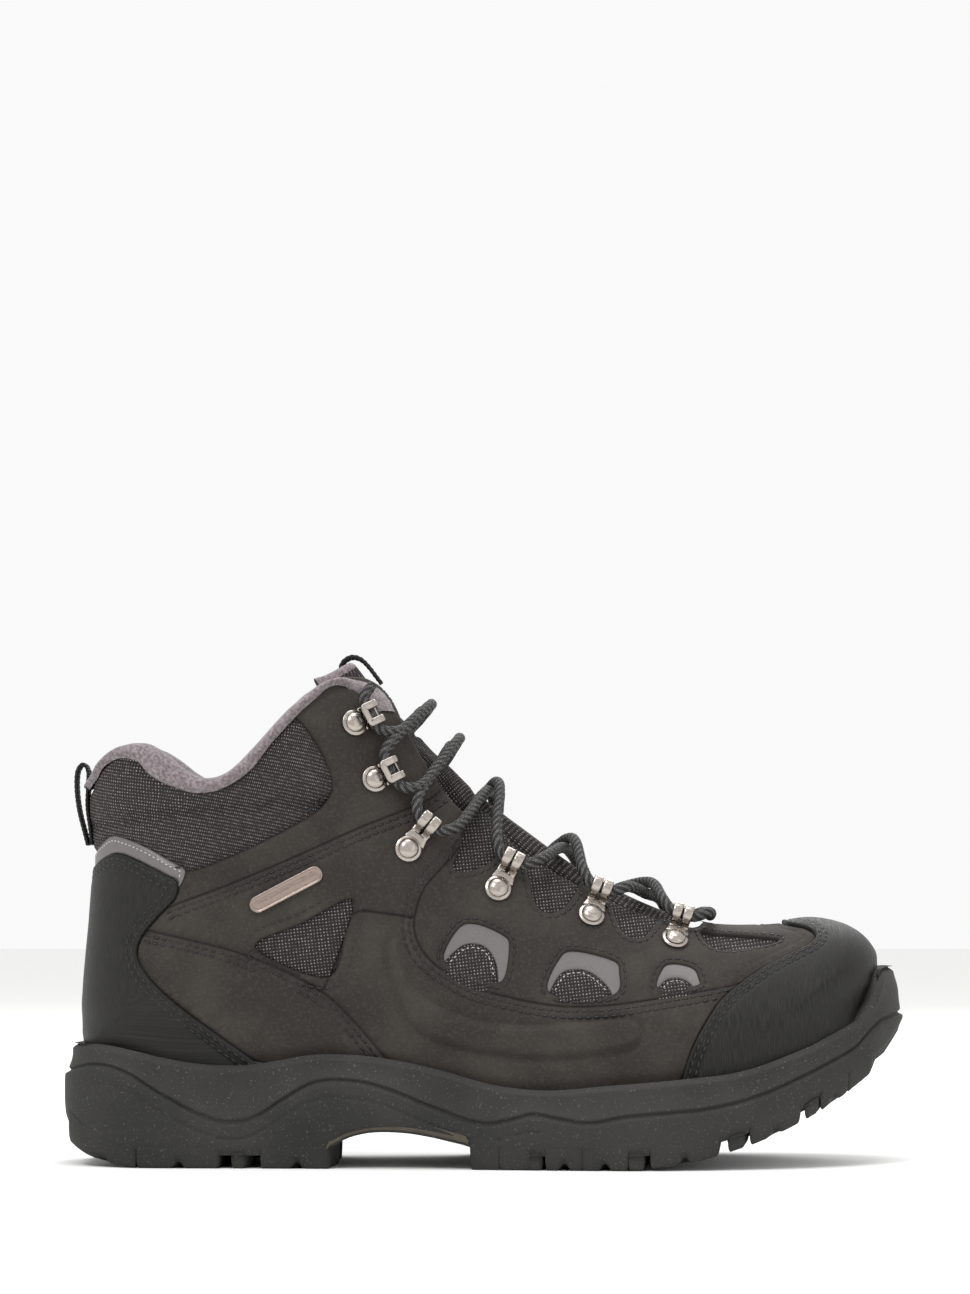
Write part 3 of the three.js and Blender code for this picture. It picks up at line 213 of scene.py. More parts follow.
# front x, front z, back x, back z, half-width low, half-width high, rounding depth
stations = np.array([
    [147.0, 66.0, 145.5, 58.0, 40.0, 40.0, 36], [144.5, 78.0, 139.0, 47.0, 40.5, 40.5, 37],
    [136.0, 86.3, 130.0, 40.0, 41.5, 41.0, 38], [122.0, 89.8, 116.0, 33.5, 43.5, 42.5, 42],
    [104.0, 88.0, 98.0, 28.0, 46.5, 45.0, 46], [84.0, 88.6, 76.0, 24.0, 49.0, 47.0, 52],
    [62.0, 95.5, 50.0, 22.0, 49.5, 46.0, 60], [38.0, 107.5, 22.0, 22.0, 46.5, 43.5, 68],
    [16.0, 123.0, -12.0, 24.0, 40.5, 41.0, 74], [-2.0, 137.0, -50.0, 28.0, 35.0, 39.5, 76],
    [-11.5, 148.5, -92.0, 31.0, 32.5, 38.5, 74], [-18.0, 155.8, -128.0, 33.0, 32.0, 38.5, 70],
    [-23.6, 162.6, -147.5, 42.0, 32.0, 38.5, 66], [-28.4, 168.8, -148.2, 64.0, 33.5, 39.0, 62],
    [-33.2, 175.0, -146.0, 90.0, 35.5, 39.5, 60], [-38.0, 181.0, -144.3, 114.0, 37.5, 40.0, 60],
    [-43.0, 187.0, -146.2, 138.0, 39.0, 40.5, 60], [-48.0, 193.0, -147.0, 162.0, 40.0, 41.0, 60],
])
sideWords = ((-1, "lateral"), (1, "medial"))
nearMiddle = 0.004  # share of a half ring that counts as the boot's middle line
heelStation = 12
topStation = len(stations) - 1
heelRounding = {"low": 34, "high": 54, "fromZ": 42, "toZ": 135}
centreLine = [[-150, 0], [-90, -1], [-40, -2.5], [10, -1], [60, 1], [110, 5], [155, 9]]

silhouetteSteps = np.arange(0, topStation + 1e-6, 1 / 6)
frontLine = np.vstack((stations[0, 2:4], catmull(stations[:, 0:2], silhouetteSteps)))
backLine = catmull(stations[:, 2:4], silhouetteSteps[silhouetteSteps >= heelStation - 1e-6])


def distanceToLine(line, points):
    points = np.asarray(points, dtype=float)
    best = np.full(len(points), 1e9)
    for a, b in zip(line[:-1], line[1:]):
        d = b - a
        t = np.clip(((points - a) @ d) / max(d @ d, 1e-9), 0, 1)
        best = np.minimum(best, np.linalg.norm(points - a - t[:, None] * d, axis=1))
    return best


def cap(distance, depth):
    return np.sqrt(np.maximum(0, 1 - (1 - np.clip(distance / depth, 0, 1)) ** 2))


def ringShare(s, f):
    closing = smoothstep(heelStation - 2.5, heelStation + 0.5, s)
    return (1 - closing) * (1 - np.cos(math.pi / 2 * f)) + closing * (1 - np.cos(math.pi * f)) / 2


def lastPoint(s, f):
    s, f = np.broadcast_arrays(np.asarray(s, dtype=float), np.asarray(f, dtype=float))
    over = np.abs(f) > 1  # past the back of the heel, on the other side
    f = np.where(over, np.sign(f) * (np.abs(f) - 2), f)
    rows = catmull(stations, s)
    share = ringShare(s, np.abs(f))
    x = rows[:, 0] + (rows[:, 2] - rows[:, 0]) * share
    z = rows[:, 1] + (rows[:, 3] - rows[:, 1]) * share
    width = rows[:, 5] + (rows[:, 4] - rows[:, 5]) * share
    h = heelRounding
    heelDepth = h["low"] + (h["high"] - h["low"]) * smoothstep(h["fromZ"], h["toZ"], z)
    behind = np.interp(z, backLine[:, 1], backLine[:, 0])
    y = width * cap(distanceToLine(frontLine, np.column_stack((x, z))), rows[:, 6])
    y = y * cap(np.maximum(0, x - behind), heelDepth) * np.sign(f)
    return np.column_stack((x, y, z))


def surface(s, f, height=0.0):
    s, f = np.atleast_1d(np.asarray(s, dtype=float)), np.atleast_1d(np.asarray(f, dtype=float))
    e = 0.01
    point = lastPoint(s, f)
    alongS = lastPoint(np.clip(s + e, 0, topStation), f) - lastPoint(np.clip(s - e, 0.001, topStation), f)
    low, high = f - e, f + e
    split = s < heelStation
    low, high = np.where(split, np.maximum(low, -1), low), np.where(split, np.minimum(high, 1), high)
    alongF = lastPoint(s, high) - lastPoint(s, low)
    out = unit(np.cross(alongF, alongS))
    if np.ndim(height) > 0:
        height = np.asarray(height)[:, None]
    point = point + out * height
    point[:, 1] += along(centreLine, point[:, 0])
    return point, out


def ringOf(side):
    side = np.atleast_2d(np.asarray(side, dtype=float))
    low, high = np.zeros(len(side)), np.full(len(side), float(topStation))

    def across(s):
        rows = catmull(stations, s)
        return ((side[:, 0] - rows[:, 0]) * (rows[:, 3] - rows[:, 1])
                - (side[:, 1] - rows[:, 1]) * (rows[:, 2] - rows[:, 0]))
    rising = across(high) > across(low)
    for _ in range(34):
        middle = (low + high) / 2
        up = (across(middle) > 0) == rising
        high, low = np.where(up, middle, high), np.where(up, low, middle)
    s = (low + high) / 2
    rows = catmull(stations, s)
    chord = rows[:, 2:4] - rows[:, 0:2]
    share = np.clip(np.sum((side - rows[:, 0:2]) * chord, axis=1) / np.sum(chord * chord, axis=1), 0, 1)
    low, high = np.zeros(len(side)), np.ones(len(side))
    for _ in range(34):
        middle = (low + high) / 2
        up = ringShare(s, middle) > share
        high, low = np.where(up, middle, high), np.where(up, low, middle)
    return s, (low + high) / 2


# flat patterns: every panel is cut in one flat map of the last

flatScale = np.array([22.0, 118.0])  # map millimetres for one station, and for one half ring


def toFlat(s, f):
    return np.column_stack((s, f)) * flatScale


def fromFlat(flat):
    flat = np.asarray(flat) / flatScale
    return flat[:, 0], flat[:, 1]


def offMiddle(f):
    return (f > nearMiddle) & (f < 1 - nearMiddle)


def inside(loop, points):
    x, y = points[:, 0], points[:, 1]
    hit = np.zeros(len(points), dtype=bool)
    for (ax, ay), (bx, by) in zip(loop, np.roll(loop, -1, axis=0)):
        if ay == by:
            continue
        spans = (ay > y) != (by > y)
        hit ^= spans & (x < (bx - ax) * (y - ay) / (by - ay) + ax)
    return hit


def kdOf(lines):
    places = np.vstack(lines) if len(lines) else np.zeros((0, 3))
    tree = KDTree(len(places))
    for i, p in enumerate(places):
        tree.insert(p, i)
    tree.balance()
    return tree


def treeDistance(tree, points, far=50.0):
    return np.array([min(tree.find(p)[2], far) for p in points])


def flatTree(points):
    return kdOf([np.column_stack((points, np.zeros(len(points))))])


def flatAway(tree, points):
    return treeDistance(tree, np.column_stack((points, np.zeros(len(points)))))


def staggered(xs, ys, step):
    return np.array([(x + (step / 2 if j % 2 else 0), y) for j, y in enumerate(ys) for x in xs])


def turnedOneWay(places, faces):
    a, b, c = (places[faces[:, k]] for k in range(3))
    turn = (b - a)[:, 0] * (c - a)[:, 1] - (b - a)[:, 1] * (c - a)[:, 0]
    return np.where((turn > 0)[:, None], faces, faces[:, ::-1]), np.abs(turn)


def fillLoops(outer, holes, rows, spacing):
    # outer and holes are closed lines on the map; rows are further lines of points beside their edges
    loops = [outer] + holes
    points, edges = [], []
    for loop in loops:
        start = len(points)
        points += [tuple(p) for p in loop]
        edges += [(start + i, start + (i + 1) % len(loop)) for i in range(len(loop))]
    low, high = outer.min(axis=0), outer.max(axis=0)
    gx = np.arange(low[0], high[0], spacing)
    gy = np.arange(low[1], high[1], spacing * 0.9)
    grid = staggered(gx, gy, spacing)
    edgeTree = flatTree(np.vstack(loops + rows))
    for extra, room in ((np.vstack(rows) if rows else np.zeros((0, 2)), 0.0), (grid, spacing * 0.62)):
        if not len(extra):
            continue
        kept = inside(outer, extra)
        for hole in holes:
            kept &= ~inside(hole, extra)
        extra = extra[kept]
        if room:
            extra = extra[flatAway(edgeTree, extra) > room]
        points += [tuple(p) for p in extra]
    made = delaunay_2d_cdt([Vector(p) for p in points], edges, [], 0, 1e-4)
    places = np.array([tuple(v) for v in made[0]])
    faces = np.array([f for f in made[2] if len(f) == 3])
    middle = places[faces].mean(axis=1)
    kept = inside(outer, middle)
    for hole in holes:
        kept &= ~inside(hole, middle)
    faces = faces[kept]
    faces, area = turnedOneWay(places, faces)
    faces = faces[area > 1e-6]
    used, faces = np.unique(faces, return_inverse=True)
    return places[used], faces.reshape(-1, 3)


# seams and edges of the upper, as lines [x, z] seen from the side

collarLine = [
    [-170, 139], [-147, 139.5], [-143.5, 143.5], [-141, 148], [-136.5, 152], [-131, 154.2], [-124, 153.6],
    [-117.5, 150.2], [-111, 145.4], [-104, 141.6], [-97, 141.6], [-90.5, 145.6], [-84, 152], [-77, 160],
    [-69, 168.4], [-61, 175], [-53, 178.6], [-45, 179], [-40.5, 177.6], [-36.6, 174.6], [-33.2, 170.2],
    [-31.2, 166]]
eyestayEdge = [
    [-29.5, 161.5], [-25.5, 154.5], [-20, 145], [-13, 135.2], [-5, 127.2], [7, 118], [21, 109.4],
    [37, 102.6], [53, 96], [67, 90], [76, 87.4], [81.5, 90.5], [82, 110]]
rimLine = [
    [-170, 136], [-148, 136.5], [-143.4, 141.5], [-139.5, 146.5], [-134, 149.8], [-128, 148.2],
    [-123.6, 143.8], [-116.3, 139.6], [-105.9, 136.6], [-95.5, 138.6], [-86.1, 143.8], [-79.8, 152.2],
    [-73.6, 159.4], [-69.4, 164.1], [-63, 170.2], [-58, 174.8], [-54, 181]]
counterEdge = [
    [-170, 106], [-147, 107.5], [-144, 109.2], [-140.8, 112], [-134.6, 114.1], [-126.7, 111.5],
    [-116.3, 106.3], [-112.1, 104.2], [-111.4, 101], [-113.2, 96.9], [-119.4, 90.7], [-124.6, 84.4],
    [-126.7, 79.2], [-125.7, 74], [-121.5, 67.8], [-111.1, 58.4], [-95.5, 46.9], [-84, 38.6], [-76, 32],
    [-68, 20]]
trimEdge = [
    [-170, 112], [-147, 113.5], [-142.3, 116.9], [-137.2, 120.4], [-131.9, 119.5], [-123.6, 116.2],
    [-113.2, 110.6], [-109, 108], [-110.4, 103], [-115, 99]]
meshEdge = [
    [-113, 107], [-107.5, 107.6], [-99.7, 109.8], [-85, 116.2], [-71.5, 123], [-61.1, 129.2],
    [-56.4, 134.4], [-55.4, 139.6], [-58, 148], [-64.2, 158.4], [-70.6, 165.4]]
ankleSeam = [
    [-119, 92.8], [-113.2, 95.2], [-92, 103], [-69.4, 112.5], [-45, 123.5], [-23.6, 132.3], [-16, 137.5],
    [-8, 146]]
eyestaySeam = [
    [0, 132], [-5, 127], [-6.5, 121], [-9, 117], [-14.2, 110.5], [-21.5, 102.1], [-24.6, 94.8],
    [-25.7, 87.5], [-23.6, 80.2], [-18.4, 74], [-6.9, 66.7], [4.6, 63], [24.7, 59.1], [43.6, 59.1],
    [62.4, 61.6], [84, 65.2], [94, 67.6]]
rearSeam = [
    [-126, 86.8], [-105, 82], [-90.3, 78.2], [-74.6, 71.9], [-59, 63.6], [-48.6, 54.2], [-37.1, 40.7],
    [-31, 31], [-28, 20]]
ankleWindow = [[-83.4, 79.8], [-66, 88.8], [-51, 97], [-47.4, 95.4], [-50.4, 85.4], [-57.4, 69]]
sideSeam = [[-63, 58], [-58, 66], [-51, 84], [-46.6, 92.6], [-36, 92.2], [-24.8, 90.6], [-18, 90]]
toeEdge = [
    [68, 20], [71.2, 32.7], [74.9, 44], [81.2, 55.3], [87.5, 62.9], [100, 71.7], [112.6, 77.9],
    [119.5, 81.3], [121.5, 84], [118.5, 86.8], [109.5, 89.6], [107, 100]]
windows = [
    [[-14.8, 75.4], [-9.8, 86.6], [-3.5, 88.6], [6.4, 84.6], [8.7, 80.5], [5.9, 67.9], [-4, 70.2]],
    [[23.5, 63.8], [27.4, 76.6], [33.5, 78.8], [46.4, 75.6], [48.6, 71.7], [46.1, 63.2]],
    [[63, 65.4], [64.6, 72.6], [68.6, 74.4], [75.6, 72.8], [77.5, 69.1], [76.8, 66.6]]]
domes = [
    [[-17, 70], [-10, 79.6], [-3.6, 81.6], [1.6, 79], [4.4, 72], [3, 62], [-8, 63]],
    [[22, 60], [27, 70.4], [33.6, 72.6], [40, 70.4], [45.6, 64], [43, 58], [26, 58]],
    [[61, 63], [65.4, 68.6], [70, 69.6], [74, 68], [76.6, 64], [75, 60], [62, 60]]]
scallops = [
    [[-9, 116], [-11.5, 110], [-9, 107.4], [-0.4, 109.8], [4.6, 115], [3.6, 126], [-4, 133]],
    [[15, 118], [16.4, 104], [18.4, 96], [23.5, 92.6], [30.4, 96.4], [35, 108]],
    [[45, 104], [47.6, 92], [50.4, 85.6], [56.1, 83.4], [61, 87], [66, 96]],
    [[79.5, 86.2], [81.5, 81.6], [88, 79.2], [100, 80.6], [107, 82.4], [107.4, 83.4], [98, 84.4], [84, 85.4]]]
sideBand = [
    [-33.2, 83], [-35.6, 79.2], [-34.4, 70], [-30.4, 59], [-24, 49.6], [-6.6, 43.4], [18.5, 40.5],
    [37.3, 41.3], [52, 44.2], [56, 48.4], [53.6, 53.4], [43.6, 53.8], [18.5, 51.6], [-0.4, 52.8],
    [-12, 56.4], [-20.5, 60.4], [-27.4, 67.4], [-30.4, 79], [-31.6, 82.4]]
collarSeam = [[-170, 123.5], [-144, 124.2], [-126.7, 127], [-95.5, 129.7], [-64, 131.8], [-56, 132]]

cut = {
    "spacing": 1.3,  # of the leather's mesh, mm
    "rows": (0.4, 1.0, 1.8, 2.9, 4.1),  # extra lines of points beside every seam
    "rim": 1.6,  # how deep a cut edge goes
}


def slopes(s, f):
    e = 0.01
    alongS = (lastPoint(np.clip(s + e, 0, topStation), f) - lastPoint(np.clip(s - e, 0.001, topStation), f))
    alongF = lastPoint(s, np.clip(f + e, 0, 1)) - lastPoint(s, np.clip(f - e, 0, 1))
    stepS = (np.clip(s + e, 0, topStation) - np.clip(s - e, 0.001, topStation))[:, None]
    stepF = (np.clip(f + e, 0, 1) - np.clip(f - e, 0, 1))[:, None]
    return alongS / stepS, alongF / stepF


def beside(flat, distances):
    # the line moved over the surface, to its left as the map shows it, by one distance or one for each point
    s, f = fromFlat(flat)
    place = lastPoint(s, f)
    alongS, alongF = slopes(s, f)
    run = unit(np.gradient(place, axis=0))
    out = unit(np.cross(alongF, alongS))
    move = np.cross(out, run) * np.atleast_1d(distances)[:, None]
    a, b, c = (alongS * alongS).sum(1), (alongS * alongF).sum(1), (alongF * alongF).sum(1)
    p, q = (alongS * move).sum(1), (alongF * move).sum(1)
    det = np.maximum(a * c - b * b, 1e-9)
    ds, df = (c * p - b * q) / det, (a * q - b * p) / det
    return toFlat(np.clip(s + ds, 0, topStation), np.clip(f + df, 0, 1))


def mapLine(points, closed=False, step=1.3):
    s, f = ringOf(curveThrough(points, step, closed))
    return toFlat(s, f)


def sideLoop(line, *closing):
    return np.vstack((curveThrough(line, 1.0), np.array(closing, dtype=float)))


counterLoop = sideLoop(counterEdge, [-68, -40], [-200, -40], [-200, 106])
toeLoop = sideLoop(toeEdge, [200, 120], [200, -40], [68, -40])


def clipped(points):
    # leaves out what would run on under the heel counter or the toe cap
    line = curveThrough(points, 1.3)
    hidden = inside(counterLoop, line) | inside(toeLoop, line)
    near = np.convolve(~hidden, [1, 1, 1], "same") > 0
    s, f = ringOf(line[near])
    return toFlat(s, f)


seamLines = {
    "top": mapLine(collarLine + eyestayEdge),
    "rim": mapLine(rimLine),
    "counter": mapLine(counterEdge),
    "trim": clipped(trimEdge),
    "mesh": clipped(meshEdge),
    "ankle": clipped(ankleSeam),
    "eyestay": clipped(eyestaySeam),
    "rear": clipped(rearSeam),
    "side": clipped(sideSeam),
    "toe": mapLine(toeEdge),
}
openLines = {"ankleWindow": ankleWindow}
openLines.update({"window" + str(i): w for i, w in enumerate(windows)})
openLines.update({"scallop" + str(i): w for i, w in enumerate(scallops)})
openLoops = {name: mapLine(points, True)[:-1] for name, points in openLines.items()}


def cutUpper():
    # one map of the outer half, cut along every seam: points, triangles and each triangle's panel number
    width, height = flatScale[1], flatScale[0] * topStation
    corners = np.array([[0, 0], [height, 0], [height, width], [0, width], [0, 0]])
    edge = [corners[i:i + 2] for i in range(4)]
    lines = []
    for line in list(seamLines.values()) + [resample(e, 2.0) for e in edge]:
        lines.append((line[:, ::-1].copy(), False))
    for loop in openLoops.values():
        lines.append((loop[:, ::-1].copy(), True))
    points, edges = [], []
    for line, closed in lines:
        start, n = len(points), len(line)
        points += [tuple(p) for p in line]
        edges += [(start + i, start + (i + 1) % n) for i in range(n if closed else n - 1)]
    fixed = np.array(points)
    rows = []
    for flat in list(seamLines.values()) + [np.vstack((l, l[:1])) for l in openLoops.values()]:
        for d in cut["rows"]:
            for way in (1, -1):
                rows.append((d, beside(flat, way * d)[:, ::-1]))
    bandLine = mapLine(sideBand, True)
    bandRow = np.vstack((bandLine, beside(bandLine, 1.0), beside(bandLine, -1.0)))[:, ::-1]
    tree = flatTree(fixed)
    taken = list(fixed)
    for d, row in sorted(rows, key=lambda r: r[0]):
        taken += [p for p, away in zip(row, flatAway(tree, row)) if away > 0.72 * d]
    taken += list(bandRow)
    tree = flatTree(np.array(taken))
    step = cut["spacing"]
    gx, gy = np.arange(0, width, step), np.arange(0, height, step * 0.88)
    grid = staggered(gx, gy, step)
    extra = taken[len(fixed):] + list(grid[flatAway(tree, grid) > step * 0.6])
    extra = [p for p in extra if 0 < p[0] < width and 0 < p[1] < height]
    made = delaunay_2d_cdt([Vector(p) for p in points + [tuple(p) for p in extra]], edges, [], 0, 1e-3)
    places = np.array([tuple(v) for v in made[0]])
    faces = np.array(made[2])
    walls = {tuple(sorted(e)) for e, origin in zip(made[1], made[4]) if len(origin)}
    label = panelNumbers(faces, walls)
    faces, _ = turnedOneWay(places, faces)
    return places[:, ::-1], faces, label


def panelNumbers(faces, walls):
    # triangles that share an edge which is no wall are in one panel
    owner, links = {}, [[] for _ in faces]
    for i, face in enumerate(faces.tolist()):
        for a, b in ((face[0], face[1]), (face[1], face[2]), (face[2], face[0])):
            key = (a, b) if a < b else (b, a)
            if key in walls:
                continue
            if key in owner:
                links[i].append(owner[key])
                links[owner[key]].append(i)
            else:
                owner[key] = i
    label = np.full(len(faces), -1)
    number = 0
    for i in range(len(faces)):
        if label[i] >= 0:
            continue
        label[i], stack = number, [i]
        while stack:
            for j in links[stack.pop()]:
                if label[j] < 0:
                    label[j] = number
                    stack.append(j)
        number += 1
    return label


def lengthsAround():
    # arc lengths around the last from the heel or the sole's edge
    s, f = np.linspace(0, topStation, 69), np.linspace(0, 1, 61)
    places = np.array([lastPoint(np.full(61, a), f) for a in s])
    around = np.zeros((69, 61))
    around[:, 1:] = np.cumsum(np.linalg.norm(np.diff(places, axis=1), axis=2), axis=1)
    return around[:, -1:] - around


aroundTable = lengthsAround()


def lookUp(table, s, f):
    i, j = np.clip(s, 0, topStation) * 4, np.clip(np.abs(f), 0, 1) * 60
    i0, j0 = np.minimum(i.astype(int), 67), np.minimum(j.astype(int), 59)
    u, v = i - i0, j - j0
    return ((table[i0, j0] * (1 - u) + table[i0 + 1, j0] * u) * (1 - v)
            + (table[i0, j0 + 1] * (1 - u) + table[i0 + 1, j0 + 1] * u) * v)


def rimEdges(faces):
    seen = {}
    for a, b, c in faces.tolist():
        for e in ((a, b), (b, c), (c, a)):
            key = tuple(sorted(e))
            seen[key] = None if key in seen else e
    return [e for e in seen.values() if e]


def panelMesh(name, flat, faces, heightOf, sides=(-1, 1), rim=None, wrapped=False):
    # a skin on the last from a flat cut, with its cut edges turned down
    used, inverse = np.unique(faces, return_inverse=True)
    flat, faces = flat[used], inverse.reshape(-1, 3)
    s, f = fromFlat(flat)
    base = lastPoint(s, f)
    border = rimEdges(faces)
    onSeam = [(a, b) for a, b in border if not (
        max(f[a], f[b]) < nearMiddle or min(f[a], f[b]) > 1 - nearMiddle)]
    dense = []
    for a, b in onSeam:
        n = max(1, int(np.linalg.norm(base[a] - base[b]) / 0.4))
        dense += [base[a] + (base[b] - base[a]) * k / n for k in range(n)]
    edge = treeDistance(kdOf([np.array(dense)]), base) if dense else np.full(len(base), 50.0)
    height = heightOf(s, f, base, edge)
    rim = cut["rim"] if rim is None else rim
    made = []
    skins = {side: surface(s, f * side, height)[0] for side in sides}
    middle = ~offMiddle(f)
    if len(sides) > 1:  # both halves share their points along the boot's middle
        shared = (skins[-1][middle] + skins[1][middle]) / 2
        skins[-1][middle], skins[1][middle] = shared, shared
    for side in sides:
        top = skins[side]
        rimPoints = sorted({p for e in onSeam for p in e})
        index = {p: len(flat) + i for i, p in enumerate(rimPoints)}
        low, _ = surface(s[rimPoints], f[rimPoints] * side, height[rimPoints] - rim)
        points = np.vstack((top, low)) * mm
        walls = []
        for a, b in onSeam:
            walls += [(b, a, index[a]), (b, index[a], index[b])]
        allFaces = faces.tolist() + walls
        if side < 0:
            allFaces = [tuple(reversed(face)) for face in allFaces]
        piece = meshObject(name, points, allFaces)
        both = np.concatenate((np.arange(len(flat)), rimPoints)).astype(int)
        # edge: distance to the nearest seam, zero on the turned-down rim; the leather shaders paint shade
        # towards seams with it
        floatAttribute(piece, "edge", np.concatenate((edge, np.zeros(len(rimPoints)))))
        around = -lookUp(aroundTable, s, f)[both] if wrapped else base[both, 0]
        uvLayer(piece, around * side, base[both, 2])
        made.append(piece)
    if len(made) > 1:
        piece = joinPieces(made, name)
        fuse(piece)
        return piece
    return made[0]


def reworked(piece, change):
    work = bmesh.new()
    work.from_mesh(piece.data)
    change(work)
    work.to_mesh(piece.data)
    work.free()
    return piece


def fuse(piece, within=0.00003):
    return reworked(piece, lambda work: bmesh.ops.remove_doubles(work, verts=work.verts, dist=within))


def facedOut(piece):
    return reworked(piece, lambda work: bmesh.ops.recalc_face_normals(work, faces=work.faces))


def closeEnd(piece, corners):
    def change(work):
        work.verts.ensure_lookup_table()
        work.faces.new([work.verts[i] for i in corners])
    return reworked(piece, change)


# materials: all procedural, colours as they look on a screen

def linear(code):
    parts = [int(code[i:i + 2], 16) / 255 for i in (1, 3, 5)]
    return tuple(c / 12.92 if c <= 0.04045 else ((c + 0.055) / 1.055) ** 2.4 for c in parts) + (1,)


def node(mat, kind, inputs=None, **settings):
    made = mat.node_tree.nodes.new("ShaderNode" + kind)
    for key, value in settings.items():
        setattr(made, key, value)
    for key, value in (inputs or {}).items():
        socket = made.inputs[key]
        if isinstance(value, bpy.types.NodeSocket):
            mat.node_tree.links.new(value, socket)
        else:
            socket.default_value = value
    return made


def newMaterial(name, **shader):
    mat = bpy.data.materials.new(name)
    mat.use_nodes = True
    for key, value in shader.items():
        mat.node_tree.nodes["Principled BSDF"].inputs[key.replace("_", " ")].default_value = value
    return mat


def link(mat, socket, value):
    mat.node_tree.links.new(value, mat.node_tree.nodes["Principled BSDF"].inputs[socket])


def mixColours(mat, share, a, b):
    made = node(mat, "Mix", data_type="RGBA")
    for socket, value in ((made.inputs[0], share), (made.inputs[6], a), (made.inputs[7], b)):
        if isinstance(value, bpy.types.NodeSocket):
            mat.node_tree.links.new(value, socket)
        else:
            socket.default_value = value
    return made.outputs[2]


def rangeOf(mat, value, a, b, c=0.0, d=1.0):
    return node(mat, "MapRange", {"Value": value, "From Min": a, "From Max": b, "To Min": c, "To Max": d},
                interpolation_type="SMOOTHSTEP").outputs[0]


def paint(piece, mat):
    piece.data.materials.clear()
    piece.data.materials.append(mat)


def objectNoise(mat, perMetre, detail=3.0, stretch=(1, 1, 1)):
    coords = node(mat, "TexCoord").outputs["Object"]
    scaled = node(mat, "Mapping", {"Vector": coords, "Scale": stretch}).outputs[0]
    return node(mat, "TexNoise", {"Vector": scaled, "Scale": perMetre, "Detail": detail}).outputs[0]


def bump(mat, height, distance, strength=1.0):
    link(mat, "Normal", node(mat, "Bump", {"Height": height, "Distance": distance,
                                             "Strength": strength}).outputs[0])


def plainFloor():
    return newMaterial("white painted studio board", Base_Color=linear("#f4f4f3"), Roughness=0.9)


def nubuckLeather():
    # sanded cowhide: soft nap that scatters light, in patches of darker and paler tone, with painted shade
    # that darkens it towards every seam and cut edge
    mat = newMaterial("sanded nubuck leather", Roughness=0.82, Sheen_Weight=0.08, Sheen_Roughness=0.45,
                      Specular_IOR_Level=0.22)
    soft = objectNoise(mat, 45, 5)
    fine = objectNoise(mat, 900, 3)
    base = mixColours(mat, rangeOf(mat, soft, 0.35, 0.7), linear("#2c2825"), linear("#383430"))
    base = mixColours(mat, rangeOf(mat, fine, 0.45, 0.75, 0, 0.3), base, linear("#4d4740"))
    # painted shade: the colour darkens towards every seam and cut edge, where the leather turns down
    edge = node(mat, "Attribute", attribute_name="edge").outputs["Fac"]
    base = mixColours(mat, rangeOf(mat, edge, 0.0, 0.9, 0.55, 0.0), base, linear("#141413"))
    link(mat, "Base Color", base)
    bump(mat, fine, 0.00025, 0.6)
    return mat


def coatedLeather():
    # polyurethane-coated split leather, brushed one way: fine streaks that break up a low sheen
    mat = newMaterial("brushed coated leather", Roughness=0.5, Specular_IOR_Level=0.28)
    uv = node(mat, "UVMap", uv_map="flat").outputs[0]
    streaks = node(mat, "Mapping", {"Vector": uv, "Scale": (2.6, 0.16, 1)}).outputs[0]
    brushed = node(mat, "TexNoise", {"Vector": streaks, "Scale": 1.0, "Detail": 5.0,
                                     "Roughness": 0.7}).outputs[0]
    base = mixColours(mat, rangeOf(mat, brushed, 0.4, 0.66), linear("#0b0b0a"), linear("#272522"))
    # painted shade: the colour darkens towards every seam and cut edge, where the leather turns down
    edge = node(mat, "Attribute", attribute_name="edge").outputs["Fac"]
    link(mat, "Base Color", mixColours(mat, rangeOf(mat, edge, 0, 0.8, 0.5, 0), base, linear("#0d0d0d")))
    link(mat, "Roughness", rangeOf(mat, brushed, 0.3, 0.7, 0.4, 0.62))
    bump(mat, brushed, 0.0003, 0.7)
    return mat


def spacerMesh():
    # warp-knitted polyester: dark ribs with a paler yarn that shows through at every stitch
    mat = newMaterial("knitted spacer mesh", Roughness=0.85)
    uv = node(mat, "UVMap", uv_map="flat").outputs[0]
    turned = node(mat, "Mapping", {"Vector": uv, "Rotation": (0, 0, 0.12), "Scale": (1, 1, 1)}).outputs[0]
    dots = node(mat, "TexVoronoi", {"Vector": turned, "Scale": 0.84, "Randomness": 0.12}).outputs["Distance"]
    pale = rangeOf(mat, dots, 0.14, 0.3, 1, 0)
    holes = rangeOf(mat, dots, 0.42, 0.62, 0, 1)
    lot = objectNoise(mat, 700, 2)
    light = mixColours(mat, rangeOf(mat, lot, 0.4, 0.62), linear("#5a5250"), linear("#968c89"))
    base = mixColours(mat, pale, linear("#221d1c"), light)
    link(mat, "Base Color", mixColours(mat, holes, base, linear("#0f0c0c")))
    bump(mat, rangeOf(mat, dots, 0.1, 0.6, 1, 0), 0.0007, 1.0)
    return mat


def reflectiveTape():
    # glass-bead tape: even grey with a silky shine at a glance
    mat = newMaterial("glass bead tape", Roughness=0.42, Metallic=0.25)
    grain = objectNoise(mat, 2600, 2)
    link(mat, "Base Color", mixColours(mat, grain, linear("#575453"), linear("#747170")))
    bump(mat, grain, 0.0001, 0.4)
    return mat


def fleeceKnit():
    # brushed polyester fleece: a deep soft pile without any shine
    mat = newMaterial("brushed fleece", Roughness=1.0, Sheen_Weight=0.25, Sheen_Roughness=0.6)
    pile = objectNoise(mat, 850, 4)
    tufts = objectNoise(mat, 160, 3)
    base = mixColours(mat, rangeOf(mat, pile, 0.32, 0.7), linear("#5a5052"), linear("#8f8387"))
    base = mixColours(mat, rangeOf(mat, tufts, 0.3, 0.7, 0, 0.35), base, linear("#685e61"))
    link(mat, "Base Color", base)
    bump(mat, pile, 0.0009, 0.9)
    return mat


